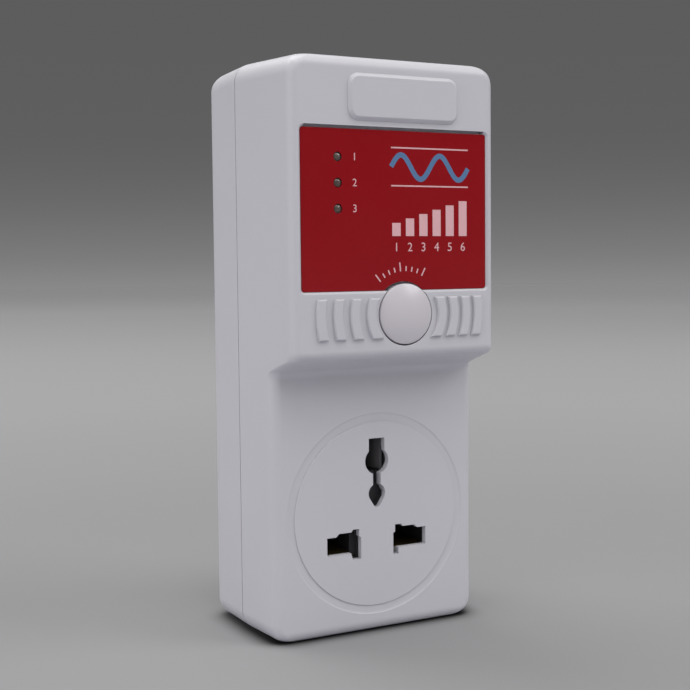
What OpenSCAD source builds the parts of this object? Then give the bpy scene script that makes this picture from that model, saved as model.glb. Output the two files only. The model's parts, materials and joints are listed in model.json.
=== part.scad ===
// Appliance voltage protector: a plug-through case with a rear three-pin plug, a universal
// socket on the lower front, and a control board, relay and lamps behind the upper front.
// Units are millimetres. The case stands on its base at z = 0, the front looks towards -Y,
// and X and Y are centred on the whole unit, plug pins included.

/* [Case] */
// Width of the case at the joint line
body_w = 60; // [59:1:70]
// Height of the case
body_h = 144; // [143:1:165]
// Depth of the upper half, from its face to the back
upper_d = 47.5; // [46.5:0.5:54]
// How far the upper face stands out over the socket face
step_out = 11; // [9:0.5:13]
// Depth of the rear shell
rear_d = 19; // [18:0.5:20]
// Thickness of the walls of both shells
wall = 2.5; // [2.2:0.1:2.8]
// Radius of the case's corners, seen from the front
corner_r = 5; // [4:0.5:7]
// Rounding of the edges round the front
front_round = 3.4; // [3:0.2:4.2]
// Rounding of the edges round the back
rear_round = 3.5; // [3:0.25:4.5]
// How much narrower the front is than the joint line, on each side
front_draft = 1; // [0.4:0.1:1.4]
// How much narrower the back is than the joint line, on each side
rear_draft = 0.8; // [0.4:0.1:1.2]
// Open line left between the two shells
seam_gap = 0.3; // [0.2:0.1:0.5]

/* [Ledge over the socket] */
// Height at which the ledge would meet the socket face
ledge_z = 67.7; // [66:0.5:69]
// Slope of the ledge's underside, in degrees
ledge_slope = 19.4; // [14:0.2:22]
// Fillet between the ledge and the socket face
ledge_fillet = 2.5; // [2:0.25:4]

/* [Socket] */
// Height of the line and neutral pins above the base
outlet_z = 23; // [22:0.5:24]
// Distance from the line pin to the neutral pin
pin_pitch = 22.2; // [22:0.1:22.6]
// Height of the earth pin above the line and neutral pins
earth_rise = 22.2; // [22:0.1:22.6]
// Clearance round a plug pin in its slot
slot_slip = 0.3; // [0.15:0.05:0.35]
// Inner radius of the moulded ring round the socket
ring_r = 23.6; // [23:0.2:25]
// Width of the moulded ring
ring_w = 2.2; // [1.6:0.2:2.6]
// Depth of the moulded ring
ring_deep = 0.3; // [0.2:0.05:0.6]
// Height of the ring's centre above the line and neutral pins
ring_rise = 7.2; // [6:0.2:8]

/* [Plug] */
// Width of a line or neutral pin
pin_w = 6.3; // [6:0.1:6.5]
// Thickness of every pin
pin_t = 4; // [3.9:0.1:4.1]
// Height of the earth pin's section
earth_h = 8; // [7.8:0.1:8.2]
// Length of the line and neutral pins outside the back
pin_out = 17.7; // [17:0.1:18.5]
// Length of the earth pin outside the back
earth_out = 22.7; // [22:0.1:23.5]
// Length of the insulating sleeves outside the back
sleeve_out = 9.5; // [8:0.5:11]

/* [Label] */
// Width of the label plate
label_w = 52.8; // [48:0.2:53]
// Height of the label plate
label_h = 38.9; // [37:0.1:39.1]
// Distance from the top of the case to the top of the label
label_drop = 18; // [17.8:0.1:18.4]
// Depth of the recess that holds the label
label_deep = 0.8; // [0.6:0.1:1.2]
// Thickness of the label plate
label_t = 0.3; // [0.2:0.1:0.5]
// Corner radius of the label plate
label_r = 1; // [0.6:0.2:2]

/* [Raised plaque] */
// Width of the raised plaque over the label
plaque_w = 32; // [26:1:40]
// Height of the raised plaque
plaque_h = 11.2; // [9:0.2:11.6]
// Distance from the top of the case to the plaque's middle
plaque_drop = 10.5; // [10.2:0.1:10.8]
// How far the plaque stands out
plaque_proud = 1; // [0.6:0.1:1.1]
// Corner radius of the plaque
plaque_r = 3.5; // [2.5:0.5:4.5]
// How far the plaque lies to the right of the middle
plaque_x = 1.1; // [-2:0.1:3]

/* [Bypass button] */
// Radius of the button
button_r = 7.45; // [7:0.05:7.6]
// Gap between the button and its hole
button_gap = 0.25; // [0.2:0.05:0.4]
// How far the button lies to the right of the middle
button_x = 2.1; // [1.5:0.1:2.5]
// Distance from the bottom of the label to the button's axis
button_drop = 5.85; // [5.6:0.05:6]
// How far the crown of the button stands out of the upper face
button_proud = 1.5; // [1.2:0.1:2]
// Height of the button's dome over its rim
dome_h = 1.2; // [0.9:0.1:1.6]
// Travel of the button
button_travel = 2; // [1.2:0.2:2.4]

/* [Ribs beside the button] */
// Number of ribs on each side
rib_count = 4; // [2:1:4]
// Width of one rib
rib_w = 2.6; // [1.6:0.2:2.8]
// Height of the band of ribs
rib_h = 9.9; // [8:0.2:10]
// How far the ribs stand out
rib_proud = 0.8; // [0.5:0.1:1]
// Spacing of the ribs on the left
rib_pitch_left = 4.6; // [4:0.1:4.8]
// Spacing of the ribs on the right
rib_pitch_right = 3.6; // [3.4:0.1:3.8]

/* [Lamps] */
// Radius of a lamp
led_r = 1.5; // [1.4:0.05:1.6]
// Spacing of the three lamps
led_pitch = 6.15; // [5.8:0.05:6.4]
// Distance from the label's left edge to the lamps
led_inset = 9.8; // [8:0.1:10.5]
// Distance from the label's top edge to the first lamp
led_drop = 6.8; // [6.2:0.1:7.4]

/* [Control board] */
// Width of the board
board_w = 49; // [48:0.5:50]
// Height of the board's lower edge above the earth pin
board_rise = 11.8; // [11.5:0.1:13]
// Thickness of the board
board_t = 1.6; // [1.2:0.2:2]
// Length of the posts that carry the board
board_post = 5.8; // [5.2:0.2:6.4]

/* [Hidden] */
$fn = 64;
// Overrun that carries a cut past the face it starts from
over = 0.5;
// Smallest radius kept where a wall eats up an outer rounding
min_round = 0.4;
// Steps in each rounded corner of the shells
arc_steps = 8;

// Places along the depth
total_d = button_proud + upper_d + earth_out;
upper_y = -total_d / 2 + button_proud;
lower_y = upper_y + step_out;
back_y = upper_y + upper_d;
seam_y = back_y - rear_d;
in_upper_y = upper_y + wall;
in_lower_y = lower_y + wall;
in_back_y = back_y - wall;
front_reach = seam_y - upper_y;

// Places on the front
label_top = body_h - label_drop;
label_z = label_top - label_h;
plaque_z = body_h - plaque_drop;
button_z = label_z - button_drop;
hole_r = button_r + button_gap;
led_x = -label_w / 2 + led_inset;
led_z = label_top - led_drop;
pin_x = pin_pitch / 2;
earth_z = outlet_z + earth_rise;
notch_gap = 0.4;
label_gap = 0.1;
rib_start_left = 0.9;
rib_start_right = 1.5;
rib_lower = 0.8;
plaque_bevel = 0.9;

// Case screws and their posts
post_r = 4;
post_inset = 7.7;
post_low = 9.5;
post_high = 10;
post_x = body_w / 2 - post_inset;
post_floor = 4;
post_hole_r = 1.9;
screw_r = 1.45;
screw_long = 14;
pilot_r = 1.5;
pilot_deep = 14;
head_r = 3;
head_h = 2.2;
head_well_r = 3.5;
cross_w = 0.8;
cross_l = 3.4;
cross_deep = 1.2;
lip_t = 1;
lip_h = 1.6;
lip_slip = 0.1;
case_posts = [for (sx = [-1, 1], z = [post_low, body_h - post_high]) [sx * post_x, z]];

// Small screws for the inner pieces
small_r = 1.05;
small_pilot_r = 1.1;
small_hole_r = 1.3;
small_head_r = 2.4;
small_head_h = 1.6;
small_long = 6;
small_cross_l = 2.6;
small_cross_w = 0.6;
small_cross_deep = 0.8;
boss_r = 3;

// Socket slots, measured from the middle line and from the pin axis
blade_in = 4.75;
blade_w = 2.35;
blade_h = 3.75;
blade_jog = 0.55;
blade_jog_z = 1.6;
foot_line_w = 1.6;
foot_neutral_w = 2.4;
foot_slope = 0.5;
foot_end = 3.95;
foot_drop = 2.5;
bulge_w = 4.9;
bulge_h = 3.1;
bulge_slope = 0.9;
round_r = 3.4;
round_drop = 1.5;
neck_w = 2.3;
low_round_r = 2.45;
low_round_drop = 9.8;
low_tip_r = 0.9;
low_tip_drop = 13.4;

// Width of the slope on the ring's outer side
ring_slope = 0.4;

// Contacts and their carrier
leaf_t = 0.6;
leaf_w = 9;
leaf_flare = 0.8;
leaf_mouth = 2.5;
leaf_start = 1;
leaf_slip = 0.15;
leaf_gap = pin_t + 2 * leaf_slip;
tail_w = 4;
chamber_slip = 0.3;
cell_w = leaf_w + 2 * chamber_slip;
cell_h = leaf_gap + 2 * (leaf_t + leaf_flare + chamber_slip);
carrier_wall = 2.4;
tip_slip = 0.8;
contact_end = lower_y + earth_out + tip_slip + leaf_t;
short_end = lower_y + pin_out + tip_slip + leaf_t;
carrier_end = contact_end + chamber_slip;
carrier_x = pin_x + cell_w / 2 + carrier_wall;
carrier_low = outlet_z - cell_h / 2 - carrier_wall;
carrier_mid = outlet_z + cell_h / 2 + carrier_wall;
earth_leaf_w = earth_h + leaf_t;
earth_cell_h = earth_leaf_w + 2 * chamber_slip;
column_x = cell_h / 2 + carrier_wall;
ear_space = 1.4;
column_top = earth_z + earth_cell_h / 2 + carrier_wall;
ear_x = column_x + boss_r + ear_space;
ear_out = ear_x + boss_r;
ear_z = earth_z;
ear_y = in_lower_y + small_long;
ear_t = 3;
cover_t = 1.5;
cover_end = carrier_end + cover_t;
slit_slip = 0.2;

// Plug pins and their retainer
flange_grow = 1.6;
flange_t = 1.5;
pad_t = 1.5;
pad_grow = 3;
pad_r = 1;
pad_face = in_back_y - pad_t;
flange_face = pad_face - flange_t;
retainer_t = 1.7;
retainer_face = flange_face - retainer_t;
stub_w = 3;
stub_slip = 0.2;
core_inset = 0.5;
tip_bevel = 1.2;
tip_long = 2.4;
keep_drop = 5.2;
keep_z = earth_z - keep_drop;
keep_grow = 1;

// Wires in the layer between the carrier's cover and the retainer
wire_r = 1.1;
wire_touch = 0.1;
wire_sides = 8;
bend_r = 2.4;
bend_steps = 3;
// Most of a straight stretch that one bend may take
bend_share = 0.45;
wire_y = (cover_end + retainer_face) / 2;
// Space between a wire and the screw head that it passes
head_space = 0.2;

// Control board
board_back = in_back_y - board_post;
board_y = board_back - board_t;
board_drop = 15;
board_top = body_h - board_drop;
board_low = earth_z + board_rise;
board_h = board_top - board_low;
board_r = 1.5;
board_hole_in = 4;
board_holes = [for (sx = [-1, 1], z = [board_low, board_top])
               [sx * (board_w / 2 - board_hole_in), z + (z == board_low ? board_hole_in : -board_hole_in)]];
board_right = board_w / 2;
board_left = -board_w / 2;
edge_gap = 1;
part_gap = 1.6;

// Lamps: body, flange and tube
led_tip = 0.4;
led_l = 5.3;
led_flange_r = 1.95;
led_flange_t = 1;
led_hole_slip = 0.1;
led_view_r = 1.15;
led_base_y = upper_y + led_tip + led_l;
spacer_r = 2.5;
spacer_in_r = 1.75;
lead_w = 0.5;
lead_half = 1.27;
led_places = [for (i = [0:2]) led_z - i * led_pitch];

// Bypass button, its spring, guide and switch
cap_wall = 1.5;
cap_roof = 1.7;
cap_flange_w = 0.9;
cap_flange_r = hole_r + cap_flange_w;
cap_flange_t = 1.2;
flange_slip = 0.3;
stem_r = 2.4;
stem_slip = 0.05;
guide_t = 2;
guide_w = 9;
guide_reach = 12.5;
spring_room = 5.8;
guide_y = in_upper_y + cap_flange_t + button_travel + spring_room;
spring_wire = 0.35;
spring_r = 4.6;
spring_turns = 6;
spring_sides = 6;
spring_rings = 12;
spring_slip = 0.05;
switch_w = 12;
switch_h = 4.2;
plunger_r = 1.7;
plunger_out = 3.4;
switch_floor = 0.25;
plunger_slip = 0.05;
cap_top = upper_y - button_proud;
cap_ceiling = cap_top + cap_roof;
plunger_face = board_y - switch_h - plunger_out;

// Relay on the right of the board
relay_w = 12.7;
relay_l = 29;
relay_h = 15.7;
relay_floor = 2.2;
relay_wall = 0.8;
relay_side = 2;
relay_rise = 9;
relay_x = board_right - relay_w / 2 - relay_side;
relay_z = board_low + relay_rise;
coil_r = 4.2;
coil_flange_r = 4.9;
coil_flange_t = 1;
contact_room = 16;
coil_l = relay_l - contact_room;
core_r = 1.8;
core_head = 0.6;
yoke_t = 1.2;
yoke_w = 7.2;
yoke_slip = 0.2;
coil_y = board_y - relay_floor - coil_flange_r - yoke_slip;
coil_z = relay_z + relay_wall + yoke_t + 2 * yoke_slip;
pole_z = coil_z + coil_l + core_head;
yoke_y = coil_y - coil_flange_r - yoke_slip - yoke_t;
pivot_r = 0.55;
pivot_slip = 0.05;
pivot_y = yoke_y + yoke_t / 2;
armature_gap = 0.75;
armature_t = 1.2;
armature_l = 8.7;
pivot_z = pole_z + armature_gap + armature_t / 2;
ear_plate_t = 0.9;
ear_gap = 0.15;
ear_plate_r = 1.5;
blade_t = 0.4;
blade_wide = 4;
blade_long = 8;
rivet_r = 1.4;
rivet_h = 0.7;
contact_gap = 0.75;

// Transformer on the upper right of the board
trafo_w = 30;
trafo_l = 23.6;
trafo_h = 20;
trafo_stack = 11;
trafo_foot = 1;
window_w = 5;
window_h = 12.4;
trafo_x = board_right - trafo_w / 2 - edge_gap;
trimmer_gap = 1.1;
bobbin_t = 0.9;
bobbin_slip = 0.1;
winding_r = 2;

// Small components, placed from the board's edges and from one another
filter_r = 5;
filter_h = 17;
filter_x = board_left + filter_r + edge_gap;
filter_drop = 9.9;
filter_z = led_z - 2 * led_pitch - filter_drop;
timing_r = 3.1;
timing_h = 11;
timing_side = 0.5;
can_gap = 0.8;
timing_x = filter_x + timing_side;
timing_z = filter_z - filter_r - timing_r - can_gap;
vent_t = 0.3;
mains_w = 18;
mains_t = 7.4;
mains_h = 13;
mains_x = board_left + mains_w / 2 + edge_gap;
mains_r = 1;
mains_rise = 12.8;
mains_z = board_low + mains_rise;
chip_w = 6.4;
chip_h = 3.3;
chip_stand = 0.5;
chip_mark_r = 0.6;
chip_mark_deep = 0.3;
leg_pitch = 2.54;
leg_w = 0.5;
leg_t = 0.3;
leg_out = 0.7;
leg_high = 2;
comparator_l = 19.2;
comparator_x = filter_x + filter_r + chip_w / 2 + leg_out + edge_gap;
comparator_rise = 4.5;
comparator_z = button_z + comparator_rise;
timer_l = 9.2;
timer_side = 0.3;
timer_x = filter_x - timer_side;
timer_z = mains_z + mains_t / 2 + timer_l / 2 + edge_gap;
varistor_r = 6;
varistor_t = 4;
varistor_gap = 1.2;
varistor_x = mains_x + mains_w / 2 + varistor_r + varistor_gap;
fuse_r = 1.5;
fuse_l = 8;
fuse_rise = 4.6;
fuse_z = board_low + fuse_rise;
resistor_r = 1.1;
resistor_cap_r = 1.25;
resistor_cap_l = 1.4;
resistor_l = 6.2;
resistor_pitch = 3.2;
resistor_count = 6;
resistor_x = (led_x + spacer_r + trafo_x - trafo_w / 2) / 2;
resistor_drop = 4.5;
resistor_z = led_z - 2 * led_pitch - resistor_drop;
diode_r = 1.35;
diode_l = 5.2;
diode_pitch = 8;
diode_count = 4;
diode_gap = 4.25;
trimmer_w = 6.6;
trimmer_h = 6;
trimmer_dial_r = 2.4;
trimmer_dial_h = 0.8;
trimmer_side = 3;
trimmer_x = button_x + trimmer_side;
trimmer_z = button_z + switch_w / 2 + trimmer_w / 2 + part_gap;
trafo_low = max(relay_z + relay_l + part_gap, trimmer_z + trimmer_w / 2 + trimmer_gap);
trafo_z = trafo_low + trafo_l / 2;
diode_z = trafo_z + trafo_l / 2 + diode_gap + diode_r;
driver_r = 2.4;
driver_h = 4.8;
driver_flat = 1.3;
driver_side = 4.4;
driver_x = button_x - driver_side;
driver_z = trimmer_z;
terminal_w = 3.6;
terminal_t = 3;
terminal_h = 4;
terminal_x = 10.2;
terminal_step = 5.4;
terminal_rise = 3.2;
terminal_z = board_low + terminal_rise;

// Solder joints on the back of the board
joint_r = 1;
joint_tip_r = 0.4;
joint_h = 1;

shell_white = [0.86, 0.86, 0.88];
brass = [0.8, 0.66, 0.32];
steel = [0.75, 0.75, 0.77];
black = [0.12, 0.12, 0.13];

// Points of a round stretch, from angle a0 to angle a1 about (cx, cy)
function arc(cx, cy, r, a0, a1, n) =
    [for (i = [0:n]) let (a = a0 + (a1 - a0) * i / n) [cx + r * cos(a), cy + r * sin(a)]];

// What is left of an outer radius inside a skin that is set in by s
function inner_round(r, s) = max(r - s, min_round);

// The ledge's underside, its concave centre and its convex centre, for a skin set in by s
function ledge_at(y, s) = ledge_z + (lower_y - y) * tan(ledge_slope) + s / cos(ledge_slope);
function hollow_r(s) = ledge_fillet + s;
function hollow_y(s) = lower_y + s - hollow_r(s);
function hollow_z(s) = ledge_at(hollow_y(s), s) - hollow_r(s) / cos(ledge_slope);
function brow_r(s) = inner_round(front_round, s);
function brow_y(s) = upper_y + s + brow_r(s);
function brow_z(s) = ledge_at(brow_y(s), s) + brow_r(s) / cos(ledge_slope);

// Place of the front face at height z, for a skin set in by s
function front_at(z, s) =
    let (r = inner_round(front_round, s), low = s + r, high = body_h - s - r,
         y_low = lower_y + s, y_high = upper_y + s)
    z < low ? y_low + r - sqrt(max(0, r * r - pow(low - z, 2))) :
    z < hollow_z(s) ? y_low :
    z < hollow_z(s) + hollow_r(s) * cos(ledge_slope) ?
        hollow_y(s) + sqrt(max(0, pow(hollow_r(s), 2) - pow(z - hollow_z(s), 2))) :
    z < brow_z(s) - brow_r(s) * cos(ledge_slope) ?
        lower_y - (z - ledge_z - s / cos(ledge_slope)) / tan(ledge_slope) :
    z < brow_z(s) ? brow_y(s) - sqrt(max(0, pow(brow_r(s), 2) - pow(brow_z(s) - z, 2))) :
    z < high ? y_high : y_high + r - sqrt(max(0, r * r - pow(z - high, 2)));

// Half the width at height z, for a skin set in by s
function half_at(z, s) =
    let (r = inner_round(corner_r, s), low = s + r, high = body_h - s - r,
         d = z < low ? low - z : z > high ? z - high : 0)
    body_w / 2 - s - (r - sqrt(max(0, r * r - d * d)));

// Heights of the rings that the shells are lofted through
function end_heights(s) =
    let (r = inner_round(corner_r, s)) [for (i = [0:arc_steps]) s + r * (1 - cos(90 * i / arc_steps))];
function top_heights(s) = [for (z = end_heights(s)) body_h - z];
function ledge_heights(s) = concat(
    [for (p = arc(0, hollow_z(s), hollow_r(s), 0, 90 - ledge_slope, arc_steps)) p[1]],
    [for (p = arc(0, brow_z(s), brow_r(s), 270 - ledge_slope, 180, arc_steps)) p[1]]);
function upward(list) = [for (i = [len(list) - 1:-1:0]) list[i]];

// One ring of a shell, from one side of its rim round the face to the other side
function ring(half, y, r, z) =
    let (rim = seam_y - seam_gap / 2)
    [for (q = concat([[-half, rim]], arc(-half + r, y + r, r, 180, 270, arc_steps),
                     arc(half - r, y + r, r, 270, 360, arc_steps), [[half, rim]]))
     [q[0], q[1], z]];

// The shell narrows evenly from the seam to its face
function narrow(p, draft, reach) =
    let (k = draft * (seam_y - p[1]) / reach)
    [p[0] * (1 - k / (body_w / 2)), p[1], p[2] * (1 - k / body_h)];

// Lofts closed rings of points into a solid
module loft(rings) {
    n = len(rings[0]);
    m = len(rings);
    sides = [for (i = [0:m - 2], j = [0:n - 1])
             let (k = (j + 1) % n)
             each [[i * n + j, (i + 1) * n + j, (i + 1) * n + k], [i * n + j, (i + 1) * n + k, i * n + k]]];
    low_cap = [for (j = [0:n - 1]) j];
    top_cap = [for (j = [n - 1:-1:0]) (m - 1) * n + j];
    polyhedron([for (r = rings) each r], concat(sides, [low_cap], [top_cap]));
}

// The two triangles of a face with four corners
function quad(a, b, c, d) = [[a, b, c], [a, c, d]];

// An open shell: its outer rings, its inner rings, and the flat rim between their ends
module shell(outer, inner) {
    n = len(outer[0]);
    m = len(outer);
    in0 = m * n;
    last = n - 1;
    top = (m - 1) * n;
    skins = [for (i = [0:m - 2], j = [0:n - 2])
             let (a = i * n + j, b = (i + 1) * n + j)
             each concat(quad(a, b, b + 1, a + 1), quad(in0 + a, in0 + a + 1, in0 + b + 1, in0 + b))];
    rims = [for (i = [0:m - 2])
            let (a = i * n, b = (i + 1) * n)
            each concat(quad(a + last, b + last, in0 + b + last, in0 + a + last),
                        quad(in0 + a, in0 + b, b, a))];
    ends = concat(quad(last, in0 + last, in0, 0),
                  quad(top + last, top, in0 + top, in0 + top + last));
    caps = [[for (j = [0:last]) j], [for (j = [last:-1:0]) top + j],
            [for (j = [last:-1:0]) in0 + j], [for (j = [0:last]) in0 + top + j]];
    polyhedron(concat([for (r = outer) each r], [for (r = inner) each r]), concat(skins, rims, ends, caps));
}

// The rings of the front shell's outer skin, or of its inner skin when set in by s
function front_rings(s) =
    [for (z = concat(end_heights(s), ledge_heights(s), upward(top_heights(s))))
     [for (q = ring(half_at(z, s), front_at(z, s), inner_round(front_round, s), z))
      narrow(q, front_draft, front_reach)]];

// The same for the rear shell, drawn with its back towards -Y
function back_at(z, s) =
    let (r = inner_round(rear_round, s), low = s + r, high = body_h - s - r,
         d = z < low ? low - z : z > high ? z - high : 0)
    seam_y - rear_d + s + r - sqrt(max(0, r * r - d * d));
function rear_rings(s) =
    [for (z = concat(end_heights(s), upward(top_heights(s))))
     [for (q = ring(half_at(z, s), back_at(z, s), inner_round(rear_round, s), z))
      narrow(q, rear_draft, rear_d)]];

// A cylinder along +Y that starts at y
module rod(x, y, z, r, l) {
    translate([x, y, z]) rotate([-90, 0, 0]) cylinder(r = r, h = l);
}

// A flat outline in X and Z, given a thickness along +Y from y
module slab(y, t) {
    translate([0, y + t, 0]) rotate([90, 0, 0]) linear_extrude(t) children();
}

// A rectangle with round corners, about its middle
module plate(w, h, r) {
    for (sx = [-1, 1], sz = [-1, 1]) translate([sx * (w / 2 - r), sz * (h / 2 - r)]) circle(r);
    square([w - 2 * r, h], center = true);
    square([w, h - 2 * r], center = true);
}

// A pan head screw along +Y: the head's top is at y, the shank runs on for l
module pan_screw(x, y, z, r, l, wide, high, cross, cross_width, deep) {
    difference() {
        union() {
            rod(x, y, z, wide, high);
            rod(x, y + high, z, r, l);
        }
        for (w = [[cross, cross_width], [cross_width, cross]])
            translate([x - w[0] / 2, y - over, z - w[1] / 2]) cube([w[0], deep + over, w[1]]);
    }
}

// A small screw of the inner pieces, with its head towards the front
module small_screw(x, head_y, z, l) {
    pan_screw(x, head_y - small_head_h, z, small_r, l, small_head_r, small_head_h,
              small_cross_l, small_cross_w, small_cross_deep);
}

// The same, turned so that its head is towards the back
module small_screw_rear(x, head_y, z, l) {
    translate([0, 2 * head_y, 0]) mirror([0, 1, 0]) small_screw(x, head_y, z, l);
}

// Slot for a line or neutral pin, for the side sx, with a foot of the given width
module blade_slot(sx, foot_w, foot_bevel) {
    rect_end = pin_x + pin_w / 2 + slot_slip;
    half = pin_t / 2 + slot_slip;
    top_in = blade_in + blade_jog;
    top_out = blade_in + blade_w;
    pts = [[rect_end, half], [top_out + bulge_w, half], [top_out + bulge_w - bulge_slope, bulge_h],
           [top_out + foot_slope, bulge_h], [top_out, blade_h], [top_in, blade_h],
           [top_in, blade_jog_z + blade_jog / 2], [blade_in, blade_jog_z], [blade_in, -foot_end],
           [blade_in + foot_w, -foot_end], [blade_in + foot_w + foot_bevel, -foot_drop],
           [blade_in + foot_w + foot_bevel, -half], [rect_end, -half]];
    translate([0, outlet_z]) polygon([for (p = pts) [sx * p[0], p[1]]]);
}

// Slot for the earth pin, with the round holes of the older plugs below it
module earth_slot() {
    half = pin_t / 2 + slot_slip;
    translate([0, earth_z]) {
        translate([-half, -round_drop]) square([2 * half, earth_h / 2 + slot_slip + round_drop]);
        translate([0, -round_drop]) circle(round_r);
        translate([-neck_w / 2, -low_round_drop]) square([neck_w, low_round_drop - round_drop]);
        hull() {
            translate([0, -low_round_drop]) circle(low_round_r);
            translate([0, low_tip_r - low_tip_drop]) circle(low_tip_r);
        }
    }
}

// The whole group of pin slots
module socket_slots() {
    blade_slot(1, foot_line_w, 0);
    blade_slot(-1, foot_neutral_w, foot_slope);
    earth_slot();
}

// Shallow groove of the moulded ring, with a steep inner wall and a sloping outer wall
module ring_groove() {
    translate([0, lower_y, outlet_z + ring_rise])
        rotate([-90, 0, 0])
            rotate_extrude($fn = 96)
                polygon([[ring_r, -over], [ring_r, ring_deep], [ring_r + ring_w - ring_slope, ring_deep],
                         [ring_r + ring_w, 0], [ring_r + ring_w, -over]]);
}

// Arched ribs on both sides of the button, all centred on the button
module rib_outlines() {
    for (side = [[-1, rib_start_left, rib_pitch_left], [1, rib_start_right, rib_pitch_right]],
         i = [0:rib_count - 1])
        intersection() {
            translate([button_x, button_z]) difference() {
                circle(hole_r + side[1] + i * side[2] + rib_w);
                circle(hole_r + side[1] + i * side[2]);
            }
            translate([button_x + (side[0] < 0 ? -label_w : 0), button_z - rib_h / 2 - rib_lower])
                square([label_w, rib_h]);
        }
}

// Outline of the label, with its notch for the button
module label_outline(gap) {
    difference() {
        translate([0, label_z + label_h / 2]) plate(label_w - 2 * gap, label_h - 2 * gap, label_r);
        if (gap > 0) translate([button_x, button_z]) circle(hole_r + notch_gap);
    }
}

module raised_plaque() {
    hull() {
        slab(upper_y - over, over + over)
            translate([plaque_x, plaque_z]) plate(plaque_w, plaque_h, plaque_r, $fn = 32);
        slab(upper_y - plaque_proud, plaque_proud)
            translate([plaque_x, plaque_z])
                plate(plaque_w - 2 * plaque_bevel, plaque_h - 2 * plaque_bevel, plaque_r - plaque_bevel,
                      $fn = 32);
    }
}

module front_shell() {
    color(shell_white) difference() {
        union() {
            shell(front_rings(0), front_rings(wall));
            for (p = case_posts) {
                start = p[1] > ledge_z ? in_upper_y - over : in_lower_y - over;
                rod(p[0], start, p[1], post_r, seam_y - start);
            }
            for (sx = [-1, 1]) {
                rod(button_x + sx * guide_reach, in_upper_y - over, button_z, boss_r,
                    guide_y - in_upper_y + over);
                rod(sx * ear_x, in_lower_y - over, ear_z, boss_r, ear_y - in_lower_y + over);
            }
            raised_plaque();
            slab(upper_y - rib_proud, rib_proud + over) rib_outlines();
        }
        slab(upper_y - over, label_deep + over) label_outline(0);
        slab(lower_y - over, wall + 2 * over) socket_slots();
        ring_groove();
        rod(button_x, upper_y - over - plaque_proud, button_z, hole_r, wall + 2 * over + plaque_proud);
        rod(button_x, in_upper_y, button_z, cap_flange_r + flange_slip,
            cap_flange_t + button_travel + flange_slip);
        for (z = led_places) rod(led_x, upper_y, z, led_r + led_hole_slip, wall + over);
        for (p = case_posts) rod(p[0], seam_y - pilot_deep, p[1], pilot_r, pilot_deep + over);
        for (sx = [-1, 1]) {
            rod(button_x + sx * guide_reach, guide_y - small_long, button_z, small_pilot_r,
                small_long + over);
            rod(sx * ear_x, ear_y - small_long, ear_z, small_pilot_r, small_long + over);
        }
    }
}

// Flat ring that stands inside the front shell and lines the two shells up
module seam_lip() {
    inset = wall + lip_slip;
    difference() {
        slab(seam_y - lip_h, lip_h + over + seam_gap)
            translate([0, body_h / 2]) plate(body_w - 2 * inset, body_h - 2 * inset, corner_r - wall);
        slab(seam_y - lip_h - over, lip_h + 3 * over + seam_gap)
            translate([0, body_h / 2])
                plate(body_w - 2 * (inset + lip_t), body_h - 2 * (inset + lip_t), corner_r - wall - lip_t);
    }
}

module rear_shell() {
    well_l = rear_d - post_floor;
    color(shell_white) difference() {
        union() {
            translate([0, 2 * seam_y, 0]) mirror([0, 1, 0]) shell(rear_rings(0), rear_rings(wall));
            seam_lip();
            for (p = case_posts) rod(p[0], seam_y, p[1], post_r + over, in_back_y - seam_y + over);
            for (p = board_holes) rod(p[0], board_back, p[1], boss_r, board_post + over);
            for (sx = [-1, 1]) {
                rod(sx * ear_x, flange_face, keep_z, boss_r, in_back_y - flange_face + over);
                slab(pad_face, pad_t + over)
                    translate([sx * pin_x, outlet_z])
                        plate(pin_w + 2 * pad_grow, pin_t + 2 * pad_grow, pad_r);
            }
            slab(pad_face, pad_t + over)
                translate([0, earth_z]) plate(pin_t + 2 * pad_grow, earth_h + 2 * pad_grow, pad_r);
        }
        for (p = case_posts) {
            rod(p[0], seam_y - lip_h - over, p[1], post_hole_r, rear_d + lip_h + over);
            rod(p[0], back_y - well_l, p[1], head_well_r, well_l + over);
        }
        for (p = board_holes) rod(p[0], board_back - over, p[1], small_pilot_r, small_long + over);
        for (sx = [-1, 1]) {
            rod(sx * ear_x, flange_face - over, keep_z, small_pilot_r, in_back_y - flange_face + over);
            slab(pad_face - over, wall + pad_t + 2 * over)
                translate([sx * pin_x, outlet_z])
                    square([pin_w + 2 * slit_slip, pin_t + 2 * slit_slip], center = true);
        }
        slab(pad_face - over, wall + pad_t + 2 * over)
            translate([0, earth_z]) square([pin_t + 2 * slit_slip, earth_h + 2 * slit_slip], center = true);
    }
}

module case_screws() {
    seat = back_y - rear_d + post_floor;
    color(steel) for (p = case_posts)
        translate([0, 2 * seat, 0]) mirror([0, 1, 0])
            pan_screw(p[0], seat - head_h, p[1], screw_r, screw_long, head_r, head_h,
                      cross_l, cross_w, cross_deep);
}

module label_plate() {
    color([0.5, 0.06, 0.09]) difference() {
        slab(upper_y + label_deep - label_t, label_t) label_outline(label_gap);
        for (z = led_places) rod(led_x, upper_y, z, led_view_r, wall);
    }
}

// One lamp: a domed lens with a flange, and two leads that run to the board
module lamp(z) {
    color([0.62, 0.68, 0.6]) {
        translate([led_x, led_base_y, z]) rotate([90, 0, 0]) rotate_extrude()
            polygon(concat([[0, 0], [led_flange_r, 0], [led_flange_r, led_flange_t], [led_r, led_flange_t]],
                           arc(0, led_l - led_r, led_r, 0, 90, arc_steps)));
        for (sx = [-1, 1])
            translate([led_x + sx * lead_half - lead_w / 2, led_base_y, z - lead_w / 2])
                cube([lead_w, board_y - led_base_y, lead_w]);
    }
}
module led_off() lamp(led_places[0]);
module led_wait() lamp(led_places[1]);
module led_on() lamp(led_places[2]);

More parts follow.
